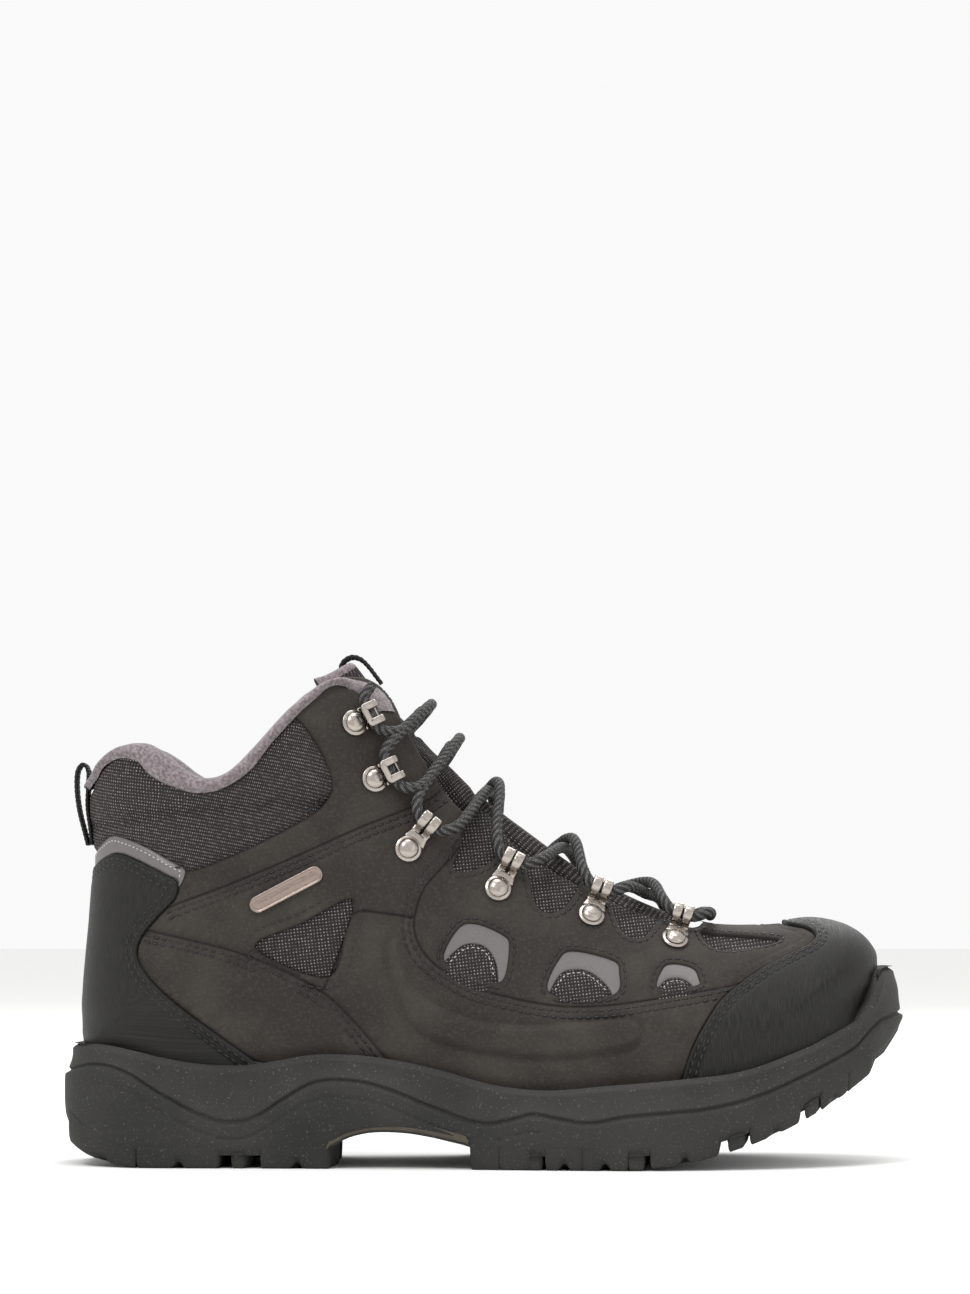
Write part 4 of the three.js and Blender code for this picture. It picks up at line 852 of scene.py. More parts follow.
def mouldedRubber(name, dark, light, dust=0.3):
    # compression-moulded rubber: matt skin with dusty bloom and fine pits
    mat = newMaterial(name, Roughness=0.78, Specular_IOR_Level=0.3)
    broad = objectNoise(mat, 22, 5)
    specks = objectNoise(mat, 1300, 2)
    base = mixColours(mat, rangeOf(mat, broad, 0.3, 0.7), linear(dark), linear(light))
    base = mixColours(mat, rangeOf(mat, specks, 0.62, 0.74, 0, dust), base, linear("#8d8a86"))
    link(mat, "Base Color", base)
    bump(mat, specks, 0.0003, 0.5)
    return mat


def satinMetal(name, dark, light, rough=0.32):
    # pressed and tumbled, then plated: soft highlights with faint scratches
    mat = newMaterial(name, Metallic=1.0)
    fine = objectNoise(mat, 900, 4, (1, 1, 4))
    link(mat, "Base Color", mixColours(mat, fine, linear(dark), linear(light)))
    link(mat, "Roughness", rangeOf(mat, fine, 0.3, 0.7, rough - 0.08, rough + 0.1))
    return mat


def wovenWebbing():
    # plain-woven polyester tape: ribs across with a dull black yarn
    mat = newMaterial("woven polyester webbing", Roughness=0.8)
    uv = node(mat, "UVMap", uv_map="flat").outputs[0]
    ribs = node(mat, "TexWave", {"Vector": uv, "Scale": 0.32, "Distortion": 0.6, "Detail": 1.0},
                bands_direction="Y").outputs["Fac"]
    link(mat, "Base Color", mixColours(mat, ribs, linear("#080808"), linear("#1e1d1d")))
    bump(mat, ribs, 0.0005, 0.8)
    return mat


def braidedCord():
    # braided polyester round a core: black carriers with two pale ones that surface in short flecks
    mat = newMaterial("braided polyester lace", Roughness=0.75)
    uv = node(mat, "UVMap", uv_map="flat").outputs[0]
    parts = node(mat, "SeparateXYZ", {"Vector": uv}).outputs
    turn = node(mat, "Math", {0: parts[0], 1: parts[1]}, operation="MULTIPLY_ADD")
    turn.inputs[1].default_value = 1.0
    mat.node_tree.links.new(parts[1], turn.inputs[2])
    lean = node(mat, "Math", {0: parts[0], 1: parts[1]}, operation="SUBTRACT").outputs[0]
    across = node(mat, "Math", {0: turn.outputs[0], 1: 5.2}, operation="PINGPONG").outputs[0]
    short = node(mat, "Math", {0: lean, 1: 1.5}, operation="PINGPONG").outputs[0]
    pale = node(mat, "Math", {0: rangeOf(mat, across, 4.1, 4.4), 1: rangeOf(mat, short, 0.7, 0.9)},
                operation="MULTIPLY").outputs[0]
    base = mixColours(mat, objectNoise(mat, 1500, 2), linear("#050505"), linear("#111111"))
    link(mat, "Base Color", mixColours(mat, pale, base, linear("#9a9795")))
    return mat


def sewingThread():
    # bonded polyester thread: smooth and slightly waxy
    return newMaterial("bonded black thread", Base_Color=linear("#0b0b0a"), Roughness=0.5)


def paleThread():
    return newMaterial("pale grey thread", Base_Color=linear("#b7b3ae"), Roughness=0.6)


def plainSolid(name, colour, rough):
    mat = newMaterial(name, Roughness=rough)
    grain = objectNoise(mat, 500, 3)
    share = rangeOf(mat, grain, 0.3, 0.7, 0, 0.3)
    link(mat, "Base Color", mixColours(mat, share, linear(colour), linear("#1c1b1a")))
    return mat


# sewing

sewing = {
    "pitch": 3.1,
    "stitch": 2.45,
    "thread": 0.42,  # radius
    "frame": 3.8,  # the row round the ankle's mesh
    "opening": 2.0,  # the row round any other opening
    "double": (1.8, 4.1),  # the two rows' distances from a seam
}


def stitchRow(places, normals, pitch, length, radius, sides=6):
    # little arched capsules along a line on the surface, in millimetres
    lengths = np.concatenate(([0], np.cumsum(np.linalg.norm(np.diff(places, axis=0), axis=1))))

    def between(values, at):
        return np.array([np.interp(at, lengths, values[:, i]) for i in range(3)])

    points, faces = [], []
    profile = ((-0.5, 0.25, -0.75), (-0.42, 0.85, -0.3), (-0.2, 1.0, 0.12), (0.2, 1.0, 0.12),
               (0.42, 0.85, -0.3), (0.5, 0.25, -0.75))  # share of the length, width, lift
    for k in range(int(lengths[-1] / pitch)):
        middle = (k + 0.5) * pitch
        ring = []
        for share, width, lift in profile:
            at = middle + share * length
            p, n = between(places, at), between(normals, at)
            n /= np.linalg.norm(n)
            a = between(places, at + 0.4) - between(places, at - 0.4)
            a /= max(np.linalg.norm(a), 1e-9)
            b = np.cross(n, a)
            start = len(points)
            for j in range(sides):
                turn = 2 * math.pi * j / sides
                points.append((p + n * radius * lift
                               + (b * math.cos(turn) + n * math.sin(turn)) * radius * width) * mm)
            ring.append(start)
        for m in range(len(profile) - 1):
            for j in range(sides):
                a0, a1 = ring[m] + j, ring[m] + (j + 1) % sides
                b0, b1 = ring[m + 1] + j, ring[m + 1] + (j + 1) % sides
                faces.append((a0, b0, b1, a1))
        faces.append(tuple(ring[0] + j for j in range(sides)))
        faces.append(tuple(ring[-1] + j for j in reversed(range(sides))))
    return points, faces


def sew(name, rows, mat, slot, pitch=None, length=None, radius=None):
    # rows: flat lines of the outer half, with the height they lie at; sewn on both sides of the boot
    points, faces = [], []
    for flat, height in rows:
        s, f = fromFlat(flat)
        kept = offMiddle(f)
        if kept.sum() < 4:
            continue
        s, f = s[kept], f[kept]
        for side in (-1, 1):
            place, out = surface(s, f * side, height)
            p, q = stitchRow(place, out, pitch or sewing["pitch"], length or sewing["stitch"],
                             radius or sewing["thread"])
            faces += [tuple(i + len(points) for i in face) for face in q]
            points += p
    piece = meshObject(name, points, faces)
    return attach(piece, mat, slot)


def keepOutside(flat, *loops):
    s, f = fromFlat(flat)
    place = lastPoint(s, f)[:, (0, 2)]
    kept = np.ones(len(flat), dtype=bool)
    for loop, way in loops:
        kept &= inside(loop, place) == way
    best, run = (0, 0), 0
    for i, k in enumerate(list(kept) + [False]):
        if k:
            run += 1
        else:
            if run > best[1] - best[0]:
                best = (i - run, i)
            run = 0
    return flat[best[0]:best[1]]


underTopLoop = sideLoop(collarLine + eyestayEdge, [200, 110], [200, -40], [-200, -40], [-200, 139])


# the upper

def rimHeight(x):
    return along([[-160, 44], [-143, 44.5], [-132, 43], [-118, 40], [-103, 37.6], [-88, 37.2], [-76, 38.8],
                  [-63, 41], [-53, 41.2], [-38, 40], [-18, 36], [3, 30.4], [22, 28.6], [43, 30.3], [71, 32.6],
                  [94, 35.6], [119, 44], [138, 53], [144, 61], [149, 71.5], [160, 72]], x)


def groove(distance, at, width=0.6):
    return np.exp(-((distance - at) / width) ** 2)


def upperLook():
    flat, faces, label = cutUpper()
    middle = flat[faces].mean(axis=1)

    def component(place):
        s, f = ringOf(place)
        target = toFlat(s, f)[0]
        return label[np.argmin(np.linalg.norm(middle - target, axis=1))]

    s, f = fromFlat(middle)
    centre = lastPoint(s, f)[:, (0, 2)]
    inCounter, inToe = inside(counterLoop, centre), inside(toeLoop, centre)
    folds = {name: kdOf([lastPoint(*fromFlat(line))]) for name, line in
             list(seamLines.items()) + list(openLoops.items())}
    bandLoop = mapLine(sideBand, True)
    bandTree = kdOf([lastPoint(*fromFlat(bandLoop))])
    seamTree = kdOf([lastPoint(*fromFlat(mapLine(collarSeam)))])
    puckered = ("counter", "ankle", "eyestay", "rear", "toe")

    def leather(s, f, base, edge):
        x, z = base[:, 0], base[:, 2]
        height = -0.75 * (1 - smoothstep(0, 1.0, edge))
        wander = np.array([noise.noise(Vector(p) / 21) for p in base])
        height += 0.28 * wander
        for name in puckered:
            d = treeDistance(folds[name], base, 9)
            height -= 0.32 * (groove(d, 1.8) + groove(d, 4.1)) * (edge > 0.3)
            height += 0.18 * groove(d, 3.0, 0.8)
        for name in openLoops:
            d = treeDistance(folds[name], base, 9)
            height -= 0.26 * groove(d, 2.0) * (edge > 0.3)
        d = treeDistance(folds["top"], base, 9)
        height -= 0.28 * (groove(d, 2.0) + groove(d, 4.3))
        within = inside(curveThrough(sideBand, 1.0, True), base[:, (0, 2)])
        d = treeDistance(bandTree, base, 9)
        height += np.where(within, 1.7 * smoothstep(-0.1, 1.4, d), -0.7 * groove(d, 0.8, 0.9))
        height -= 2.4 * (1 - smoothstep(-1.0, 4.0, z - rimHeight(x))) * 0.5
        return height

    def overlay(s, f, base, edge):
        x, z = base[:, 0], base[:, 2]
        height = 0.95 * smoothstep(6, 16, z - rimHeight(x)) * smoothstep(-0.4, 0.7, edge)
        height -= 0.34 * (groove(edge, 1.8) + groove(edge, 4.1))
        height += 0.2 * np.array([noise.noise(Vector(p) / 17) for p in base])
        return height

    def padding(s, f, base, edge):
        height = -0.8 + 0.9 * smoothstep(0, 2.5, edge) + 1.5 * (1 - np.exp(-edge / 8))
        d = treeDistance(seamTree, base, 20)
        return height - 1.7 * np.exp(-(d / 2.2) ** 2)

    def trim(s, f, base, edge):
        return -0.35 + 0.5 * smoothstep(0, 0.9, edge)

    def windowMesh(s, f, base, edge):
        return -1.35 + 1.2 * smoothstep(0, 7, edge)

    hide = nubuckLeather()
    mesh = spacerMesh()
    fields = (
        ("shaft_panel", (-40, 150)), ("ankle_panel", (-80, 92)), ("heel_quarter", (-75, 56)),
        ("side_panel", (-20, 50)))
    for name, place in fields:
        part = faces[(label == component(place)) & ~inCounter & ~inToe]
        for side, word in sideWords:
            piece = panelMesh(name + "_" + word + "_leather", flat, part, leather, (side,))
            attach(piece, hide, "nubuck", name + "_" + word)
    part = faces[(label == component((12, 92))) & ~inToe]
    piece = panelMesh("lace_panel_leather", flat, part, leather)
    attach(piece, hide, "nubuck", "lace_panel")
    coat = coatedLeather()
    for name, part in (("heel_counter", faces[inCounter]), ("toe_cap", faces[inToe])):
        piece = panelMesh(name + "_leather", flat, part, overlay, rim=2.0, wrapped=name == "heel_counter")
        attach(piece, coat, "coated_leather", name)
    piece = panelMesh("heel_trim_tape", flat, faces[(label == component((-126, 114))) & ~inCounter], trim,
                      wrapped=True)
    attach(piece, reflectiveTape(), "reflective_fabric", "heel_trim")
    piece = panelMesh("collar_padding", flat, faces[label == component((-80, 130))], padding,
                      wrapped=True)
    attach(piece, mesh, "spacer_mesh", "collar_mesh")
    part = faces[label == component((-62, 83))]
    for side, word in sideWords:
        piece = panelMesh("ankle_mesh_" + word + "_knit", flat, part, windowMesh, (side,))
        attach(piece, mesh, "spacer_mesh", "ankle_mesh_" + word)
    vampOpenings(mesh)


def vampOpenings(mesh):
    # what shows behind the vamp's openings
    behind = [(-24, 108), (-12, 126), (0, 131), (14, 116), (40, 101), (62, 92), (84, 86), (106, 86.5),
              (113, 82), (100, 72), (84, 62), (60, 55), (24, 53), (-8, 58), (-22, 70), (-26, 88)]
    loops = [mapLine(d, True)[:-1][:, ::-1] for d in domes]
    loop = mapLine(behind, True)[:-1][:, ::-1]
    rows = [beside(np.vstack((l[:, ::-1], l[:1, ::-1])), w)[:, ::-1]
            for l in loops for w in (0.6, 1.3, -0.6, -1.3)]
    places, triangles = fillLoops(loop, [], [l for l in loops] + rows, 1.5)
    domeLoops = [curveThrough(d, 1.0, True) for d in domes]
    domeTree = kdOf([lastPoint(*fromFlat(l[:, ::-1])) for l in loops])

    def vampMesh(s, f, base, edge):
        within = np.zeros(len(base), dtype=bool)
        for d in domeLoops:
            within |= inside(d, base[:, (0, 2)])
        away = treeDistance(domeTree, base, 12)
        return np.where(within, -1.5 + 1.5 * smoothstep(0, 3.5, away), -1.7)
    strips = [(-19, 80), (-10, 90.5), (2, 90.5), (16, 84), (20, 79), (34, 82.4), (50, 79), (58, 74),
              (66, 77.6), (80, 75.6), (84, 70), (76, 61), (40, 58.4), (10, 61), (-12, 66)]
    stripLoop = mapLine(strips, True)[:-1][:, ::-1]
    stripPlaces, stripFaces = fillLoops(stripLoop, loops, rows, 1.8)
    tape = reflectiveTape()
    for side, word in sideWords:
        piece = panelMesh("vamp_mesh_" + word + "_knit", places[:, ::-1], triangles[:, ::-1], vampMesh,
                          (side,))
        attach(piece, mesh, "spacer_mesh", "vamp_mesh_" + word)
        piece = panelMesh("window_strip_" + word + "_tape", stripPlaces[:, ::-1], stripFaces[:, ::-1],
                          lambda s, f, base, edge: -1.35 + 0.3 * smoothstep(0, 0.8, edge), (side,))
        attach(piece, tape, "reflective_fabric", "window_strip_" + word)


sewWay = {  # which side of a seam its rows lie on
    "counter": 1, "toe": 1, "ankle": 1, "eyestay": 1, "rear": 1, "mesh": -1, "top": -1, "trim": 1, "dome": 1}


def seamsLook():
    thread = sewingThread()
    rows = []
    inner, outer = sewing["double"]
    free = ((counterLoop, False), (toeLoop, False), (underTopLoop, True))

    def both(line, way, loops=free, distances=(inner, outer), height=-0.22):
        line = line[offMiddle(fromFlat(line)[1])]
        for d in distances:
            rows.append((keepOutside(beside(line, way * d), *loops), height))
    both(seamLines["counter"], sewWay["counter"], ((counterLoop, True),), height=0.62)
    both(seamLines["toe"], sewWay["toe"], ((toeLoop, True),), height=0.6)
    for name in ("ankle", "eyestay", "rear"):
        both(seamLines[name], sewWay[name])
    both(seamLines["mesh"], sewWay["mesh"], distances=(inner,))
    both(seamLines["top"], sewWay["top"], ((underTopLoop, True), (toeLoop, False)), height=-0.25)
    for name, loop in openLoops.items():
        line = np.vstack((loop, loop[:1]))
        gap = sewing["frame" if name == "ankleWindow" else "opening"]
        grown = max((beside(line, gap), beside(line, -gap)), key=lambda l: np.ptp(l[:, 0]) + np.ptp(l[:, 1]))
        if name.startswith("scallop"):
            grown = keepOutside(grown, (underTopLoop, True), (toeLoop, False))
        rows.append((grown, -0.2))
    sew("stitching_black", rows, thread, "webbing")
    pale = [(keepOutside(beside(seamLines["trim"], sewWay["trim"] * 1.7), (counterLoop, False)), 0.12)]
    for d, window in zip(domes, windows):
        line = beside(mapLine(d, True), sewWay["dome"] * 1.6)
        pale.append((keepOutside(line, (curveThrough(window, 1.0, True), True)), -0.95))
    sew("stitching_pale", pale, paleThread(), "webbing", pitch=1.9, length=1.05, radius=0.22)


# collar lining, tongue and the inside

collar = {
    "step": 1.6,  # mm along the collar
    "frontLift": 1.7,  # where the band runs out, the roll stands over the leather
    # the roll from its outer edge over the collar and down inside: share of the band, mm beyond it, height
    "section": [
        (1.0, 1.0, -1.1), (0.94, 0.0, 0.0), (0.8, 0, 0.55), (0.6, 0, 0.75), (0.4, 0, 0.5), (0.22, 0, -0.2),
        (0.1, 0, -1.2), (0.03, 0, -2.6), (0, 0, -4.4), (0, 0.5, -6.4), (0, 1.8, -8.2), (0, 4, -9.5),
        (0, 8, -10.0), (0, 14, -10.0), (0, 20, -9.6)],
    "ceiling": [
        [-170, 128], [-147, 128], [-131, 142], [-117, 138], [-104, 130], [-90, 134], [-77, 149], [-61, 164],
        [-53, 168], [-40, 167], [-30, 154], [-20, 138], [7, 108], [40, 84], [60, 74], [200, 70]],
}


def liningRoll():
    # the fleece that rolls over the collar, one skin for each side
    line = mapLine([p for p in collarLine if p[0] > -155], step=collar["step"])
    s, f = fromFlat(line)
    keep = f < 0.998
    start = np.argmax(keep)
    s, f = s[start:], f[start:]
    s, f = np.concatenate(([ringOf((-147.3, 139.6))[0][0]], s)), np.concatenate(([1.0], f))
    line = toFlat(s, f)
    top = lastPoint(s, f)
    edgeTree = kdOf([lastPoint(*fromFlat(seamLines["rim"]))])
    room = np.clip(treeDistance(edgeTree, top, 14), 1.2, 12)
    room = np.convolve(np.pad(room, 3, "edge"), np.ones(7) / 7, "valid")
    narrow = collar["frontLift"] * (1 - smoothstep(2.5, 6.5, room))
    grids = {}
    for side in (-1, 1):
        rows = []
        for share, extra, height in collar["section"]:
            down = room * share + extra
            flat = beside(line, down)
            a, b = fromFlat(flat)
            rows.append(surface(a, b * side, height + (share > 0.05) * narrow)[0])
        grids[side] = np.array(rows)
    pieces = []
    for side in (-1, 1):
        grid = grids[side]
        deep, columns = grid.shape[:2]
        points = grid.reshape(-1, 3).copy()
        wobble = np.array([noise.noise(Vector(p) / 6) + 0.5 * noise.noise(Vector(p) / 2.4) for p in points])
        points[:, 2] += 0.25 * wobble
        points[:, 1] += 0.2 * wobble * side
        faces = [(a, d, c, b) if side > 0 else (b, c, d, a) for a, b, c, d in gridFaces(deep, columns)]
        pieces.append(meshObject("lining_roll", points * mm, faces))
    return pieces


def liningFace():
    # the lining's face inside the boot
    s, f = np.linspace(3.2, topStation - 0.1, 110), np.linspace(-1, 1, 121)
    gridS, gridF = np.meshgrid(s, f, indexing="ij")
    base = lastPoint(gridS.ravel(), gridF.ravel())
    height = -5.6 - 4.1 * smoothstep(104, 122, base[:, 2])
    points, _ = surface(gridS.ravel(), gridF.ravel(), height)
    ceiling = along(collar["ceiling"], points[:, 0])
    kept = points[:, 2] < ceiling
    faces = [q for q in gridFaces(len(s), len(f)) if all(kept[k] for k in q)]
    return meshObject("lining_face", points * mm, faces)


def liningLook():
    pieces = liningRoll() + [liningFace()]
    piece = joinPieces(pieces, "lining_fleece")
    fuse(piece, 0.0002)
    attach(piece, fleeceKnit(), "fleece", "lining", "vamp_lining")


tongue = {
    "halfWidth": 30,  # over the last, mm
    "thickness": 6,
    "quilting": (0.34, 0.6),  # shares of its length with a seam across
    "binding": (108, 120),  # rows of its skin that are bound with fleece
}


def tongueLook():
    s = np.linspace(ringOf((74, 92))[0][0], 15.9, 110)
    w = np.linspace(-1, 1, 61) * tongue["halfWidth"]
    outer, inner = [], []
    for k, ring in enumerate(s):
        share = k / (len(s) - 1)
        z = catmull(stations[:, 0:2], ring)[1]
        crown = -0.7 - 2.9 * float(smoothstep(134, 158, z)) - 2.6 * float(smoothstep(158, 178, z))
        narrow = 1 - 0.1 * share
        f = w * narrow / 112
        at = np.abs(w)
        height = crown - (crown + 2.6) * smoothstep(8.5, 14.5, at) - 6.5 * smoothstep(14, 27, at)
        for q in tongue["quilting"]:
            height = height - 1.0 * math.exp(-((share - q) / 0.012) ** 2)
        rings = np.full(len(w), ring)
        p, _ = surface(rings, f, height)
        q, _ = surface(rings, f, height - tongue["thickness"] * (1 - 0.7 * smoothstep(20, 30, at)))
        outer.append(p)
        inner.append(q)
    for k in range(5):  # the rolled top edge
        share = (k + 1) / 6
        outer.append(outer[109] + (inner[109] - outer[109]) * (1 - math.cos(math.pi * share)) / 2
                     + (outer[109] - outer[106]) / np.linalg.norm(outer[109] - outer[106], axis=1)[:, None]
                     * 2.6 * math.sin(math.pi * share))
    rows = outer + inner[::-1]
    piece, u, v = gridMesh("tongue_padding", [row * mm for row in rows])
    uvLayer(piece, u * 1.0, v * 1.6)
    attach(piece, spacerMesh(), "nubuck", "tongue", body="tongue")
    piece.data.materials.append(fleeceKnit())
    m = len(w)
    for face in piece.data.polygons:
        row = face.vertices[0] // m
        if tongue["binding"][0] <= row <= tongue["binding"][1]:
            face.material_index = 1


def footbedLook():
    low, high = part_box("footbed")
    low, high = np.array(low) / mm, np.array(high) / mm
    rows = []
    xs = np.linspace(low[0] + 1, high[0] - 1.5, 90)
    floor = catmull(stations[:, 2:4], np.linspace(0, heelStation, 200))[::-1]
    for x in xs:
        z = np.interp(x, floor[:, 0], floor[:, 1]) + 7.2
        half = 0.93 * min(38.0, 8 + 1.15 * math.sqrt(max(0.1, (x - low[0]) * 18)),
                          6 + 1.1 * math.sqrt(max(0.1, (high[0] - x) * 22)), 27 + 0.14 * (x + 133))
        centre = float(along(centreLine, x))
        ring = []
        for k in range(33):
            a = 2 * math.pi * k / 32
            c, d = math.cos(a), math.sin(a)
            y = centre + half * squared(c, 0.35)
            cup = 2.6 * abs(c) ** 6 * float(smoothstep(-20, -90, x)) if d > 0 else 0
            ring.append((x, y, z - 2.2 + squared(d, 0.5) * 1.9 + cup))
        rows.append(np.array(ring[:-1]) * mm)
    piece, u, v = gridMesh("footbed_insert", rows, closed=True, capped=True)
    uvLayer(piece, u * 2.0, v * 3.0)
    attach(piece, plainSolid("knit-faced foam", "#4a4648", 0.9), "foam", "footbed", body="footbed")


def closedPlan(points, step=1.2):
    return curveThrough(points, step, True)[:-1]


# metal

holders = [  # rivet place and the direction to the lace, [x, z] seen from the side, bottom first
    ("lace_loop_1", (69.2, 82.6), (73.6, 92.6)), ("lace_loop_2", (38.6, 91.4), (43.0, 102.6)),
    ("lace_loop_3", (4.6, 101.2), (10.6, 112.8)), ("lace_loop_4", (-28.0, 115.6), (-20.4, 125.4)),
    ("lace_hook_1", (-40.2, 141.0), (-31.0, 145.6)), ("lace_hook_2", (-47.7, 161.4), (-38.4, 166.0))]
plate = {"radius": 4.9, "thickness": 0.9, "lift": 0.4, "loopReach": 11.5, "eye": 2.65, "hookReach": 9.5,
         "gap": 4.9}


def seatOn(at, towards, side, lift):
    s, f = ringOf((at, towards))
    place, out = surface(s, f * side, 0.0)
    place[:, 1] -= along(centreLine, place[:, 0])
    aim = place[1] - place[0]
    out = out[0]
    a = aim - out * (aim @ out)
    a /= np.linalg.norm(a)
    origin = place[0] + out * lift
    origin[1] += along(centreLine, origin[0])
    return Matrix([[a[i], np.cross(out, a)[i], out[i], origin[i]] for i in range(3)] + [[0, 0, 0, 1]])


def strapRows(path, halfWidths, thickness, offset=0.0, corners=12):
    # a flat strap with rounded edges along a path of (x, z), in millimetres
    path = np.array(path, dtype=float)
    run = unit(np.gradient(path, axis=0))
    rows = []
    for (x, z), (dx, dz), half in zip(path, run, halfWidths):
        ring = []
        for j in range(corners):
            a = 2 * math.pi * (j + 0.5) / corners
            y = offset + half * squared(math.cos(a), 0.4)
            t = thickness / 2 * squared(math.sin(a), 0.55)
            ring.append(Vector((x - dz * t, y, z + dx * t)))
        rows.append(ring)
    return rows


def circle(radius, z, steps):
    angles = [2 * math.pi * k / steps for k in range(steps)]
    return [Vector((radius * math.cos(a), radius * math.sin(a), z)) for a in angles]


def ringPlate(radius, hole, thickness, steps=36):
    profile = ((hole, 0.2), (hole, thickness - 0.1), (hole + 0.15, thickness), (radius - 0.3, thickness),
               (radius, thickness - 0.3), (radius, 0.15), (radius - 0.2, 0), (hole + 0.1, 0), (hole, 0.2))
    return [circle(r, z, steps) for r, z in profile]


def placedMesh(name, rowSets, seat):
    parts = []
    for rows, closed, capped in rowSets:
        parts.append(gridMesh(name, [[(seat @ p) * mm for p in row] for row in rows], closed, capped)[0])
    piece = joinPieces(parts, name) if len(parts) > 1 else parts[0]
    return facedOut(piece)


def loopStraps(t):
    # a neck that forks into two straps, bent round to hold the lace
    reach, eye = plate["loopReach"], plate["eye"] + t / 2
    neck = [(x, t / 2) for x in np.linspace(3.4, reach - 4.6, 8)]
    sets = [(strapRows(neck, np.linspace(4.4, 3.45, 8), t), True, True)]
    bend = [(x, t / 2) for x in np.linspace(reach - 5.2, reach, 6)]
    bend += [(reach + eye * math.sin(a), t / 2 + eye * (1 - math.cos(a)))
             for a in np.linspace(0.12, math.radians(322), 34)]
    for way in (-1, 1):
        widths = [1.5 + 0.25 * math.sin(math.pi * i / (len(bend) - 1)) for i in range(len(bend))]
        sets.append((strapRows(bend, widths, t, offset=way * 2.0), True, True))
    return sets


def hookStraps(t):
    # a neck bent back over itself, with a cut window and a closed tip
    reach, r = plate["hookReach"], plate["gap"] / 2 + t / 2
    neck = [(x, t / 2) for x in np.linspace(3.2, reach - r + 0.6, 8)]
    sets = [(strapRows(neck, np.linspace(4.3, 4.4, 8), t), True, True)]
    bend = [(reach - r + r * math.sin(a), t / 2 + r * (1 - math.cos(a)))
            for a in np.linspace(0.1, math.pi, 18)]
    bend += [(x, t / 2 + 2 * r) for x in np.linspace(reach - r - 0.8, reach - 6.4, 6)]
    sets.append((strapRows(bend[:7], [4.5] * 7, t), True, True))
    for way in (-1, 1):
        sets.append((strapRows(bend[5:], [1.35] * len(bend[5:]), t, offset=way * 3.1), True, True))
    tip = [(x, t / 2 + 2 * r) for x in np.linspace(reach - 5.6, reach - 7.7, 6)]
    sets.append((strapRows(tip, (4.4, 4.5, 4.5, 4.35, 3.9, 3.0), t), True, True))
    return sets


def metalLook():
    nickel = satinMetal("satin nickel plate", "#8a827b", "#c4bcb4", 0.28)
    t = plate["thickness"]
    for name, at, towards in holders:
        for side, word in sideWords:
            seat = seatOn(at, towards, side, plate["lift"])
            sets = [(ringPlate(plate["radius"], 1.85, t), True, False)]
            sets += loopStraps(t) if "loop" in name else hookStraps(t)
            piece = placedMesh(name + "_" + word + "_plate", sets, seat)
            attach(piece, nickel, "nickel_steel", name + "_" + word)
            base = t + 0.3
            dome = ((0.01, base + 1.75), (0.7, base + 1.78), (1.6, base + 1.7), (2.5, base + 1.4),
                    (3.2, base + 0.95), (3.7, base + 0.4), (3.8, base + 0.1), (3.6, base - 0.1),
                    (1.5, base - 0.1), (1.5, -1.2))
            rows = [circle(r, z, 32) for r, z in dome]
            piece = placedMesh("rivet_" + name + "_" + word + "_head", [(rows, True, True)], seat)
            attach(piece, nickel, "nickel_steel", "rivet_" + name + "_" + word)


badge = {"length": 23, "width": 6.2, "lift": 0.55, "from": (-82.2, 95.6), "towards": (-62, 106.2)}


def badgeLook():
    seat = seatOn(badge["from"], badge["towards"], -1, badge["lift"])
    half, length = badge["width"] / 2, badge["length"]
    outline = []
    for k in range(24):
        a = math.pi / 2 + math.pi * k / 23
        outline.append((half * math.cos(a), half * math.sin(a)))
    for k in range(1, 16):
        outline.append((length * k / 16, -half))
    for k in range(24):
        a = -math.pi / 2 + math.pi * k / 23
        outline.append((length + half * math.cos(a), half * math.sin(a)))
    for k in range(1, 16):
        outline.append((length * (1 - k / 16), half))
    core = [min(max(x, 0), length) for x, y in outline]
    rows = []
    for inset, z in ((0, 0), (0, 0.75), (0.12, 0.95), (0.35, 1.05), (0.62, 0.98), (0.8, 0.78), (1.0, 0.68),
                     (1.8, 0.72), (half - 0.02, 0.8)):
        k = 1 - inset / half
        rows.append([Vector((c + (x - c) * k, y * k, z)) for (x, y), c in zip(outline, core)])
    piece = placedMesh("badge_plate", [(rows, True, False)], seat)
    attach(piece, satinMetal("cast pewter", "#75665f", "#a89990", 0.36), "pewter", "badge")


# lace

lace = {
    "diameter": 4.2,
    "lowCrossing": 2.8,  # of a strand's middle over the tongue's ridge
    "highCrossing": 7.2,
    "step": 0.75,
}


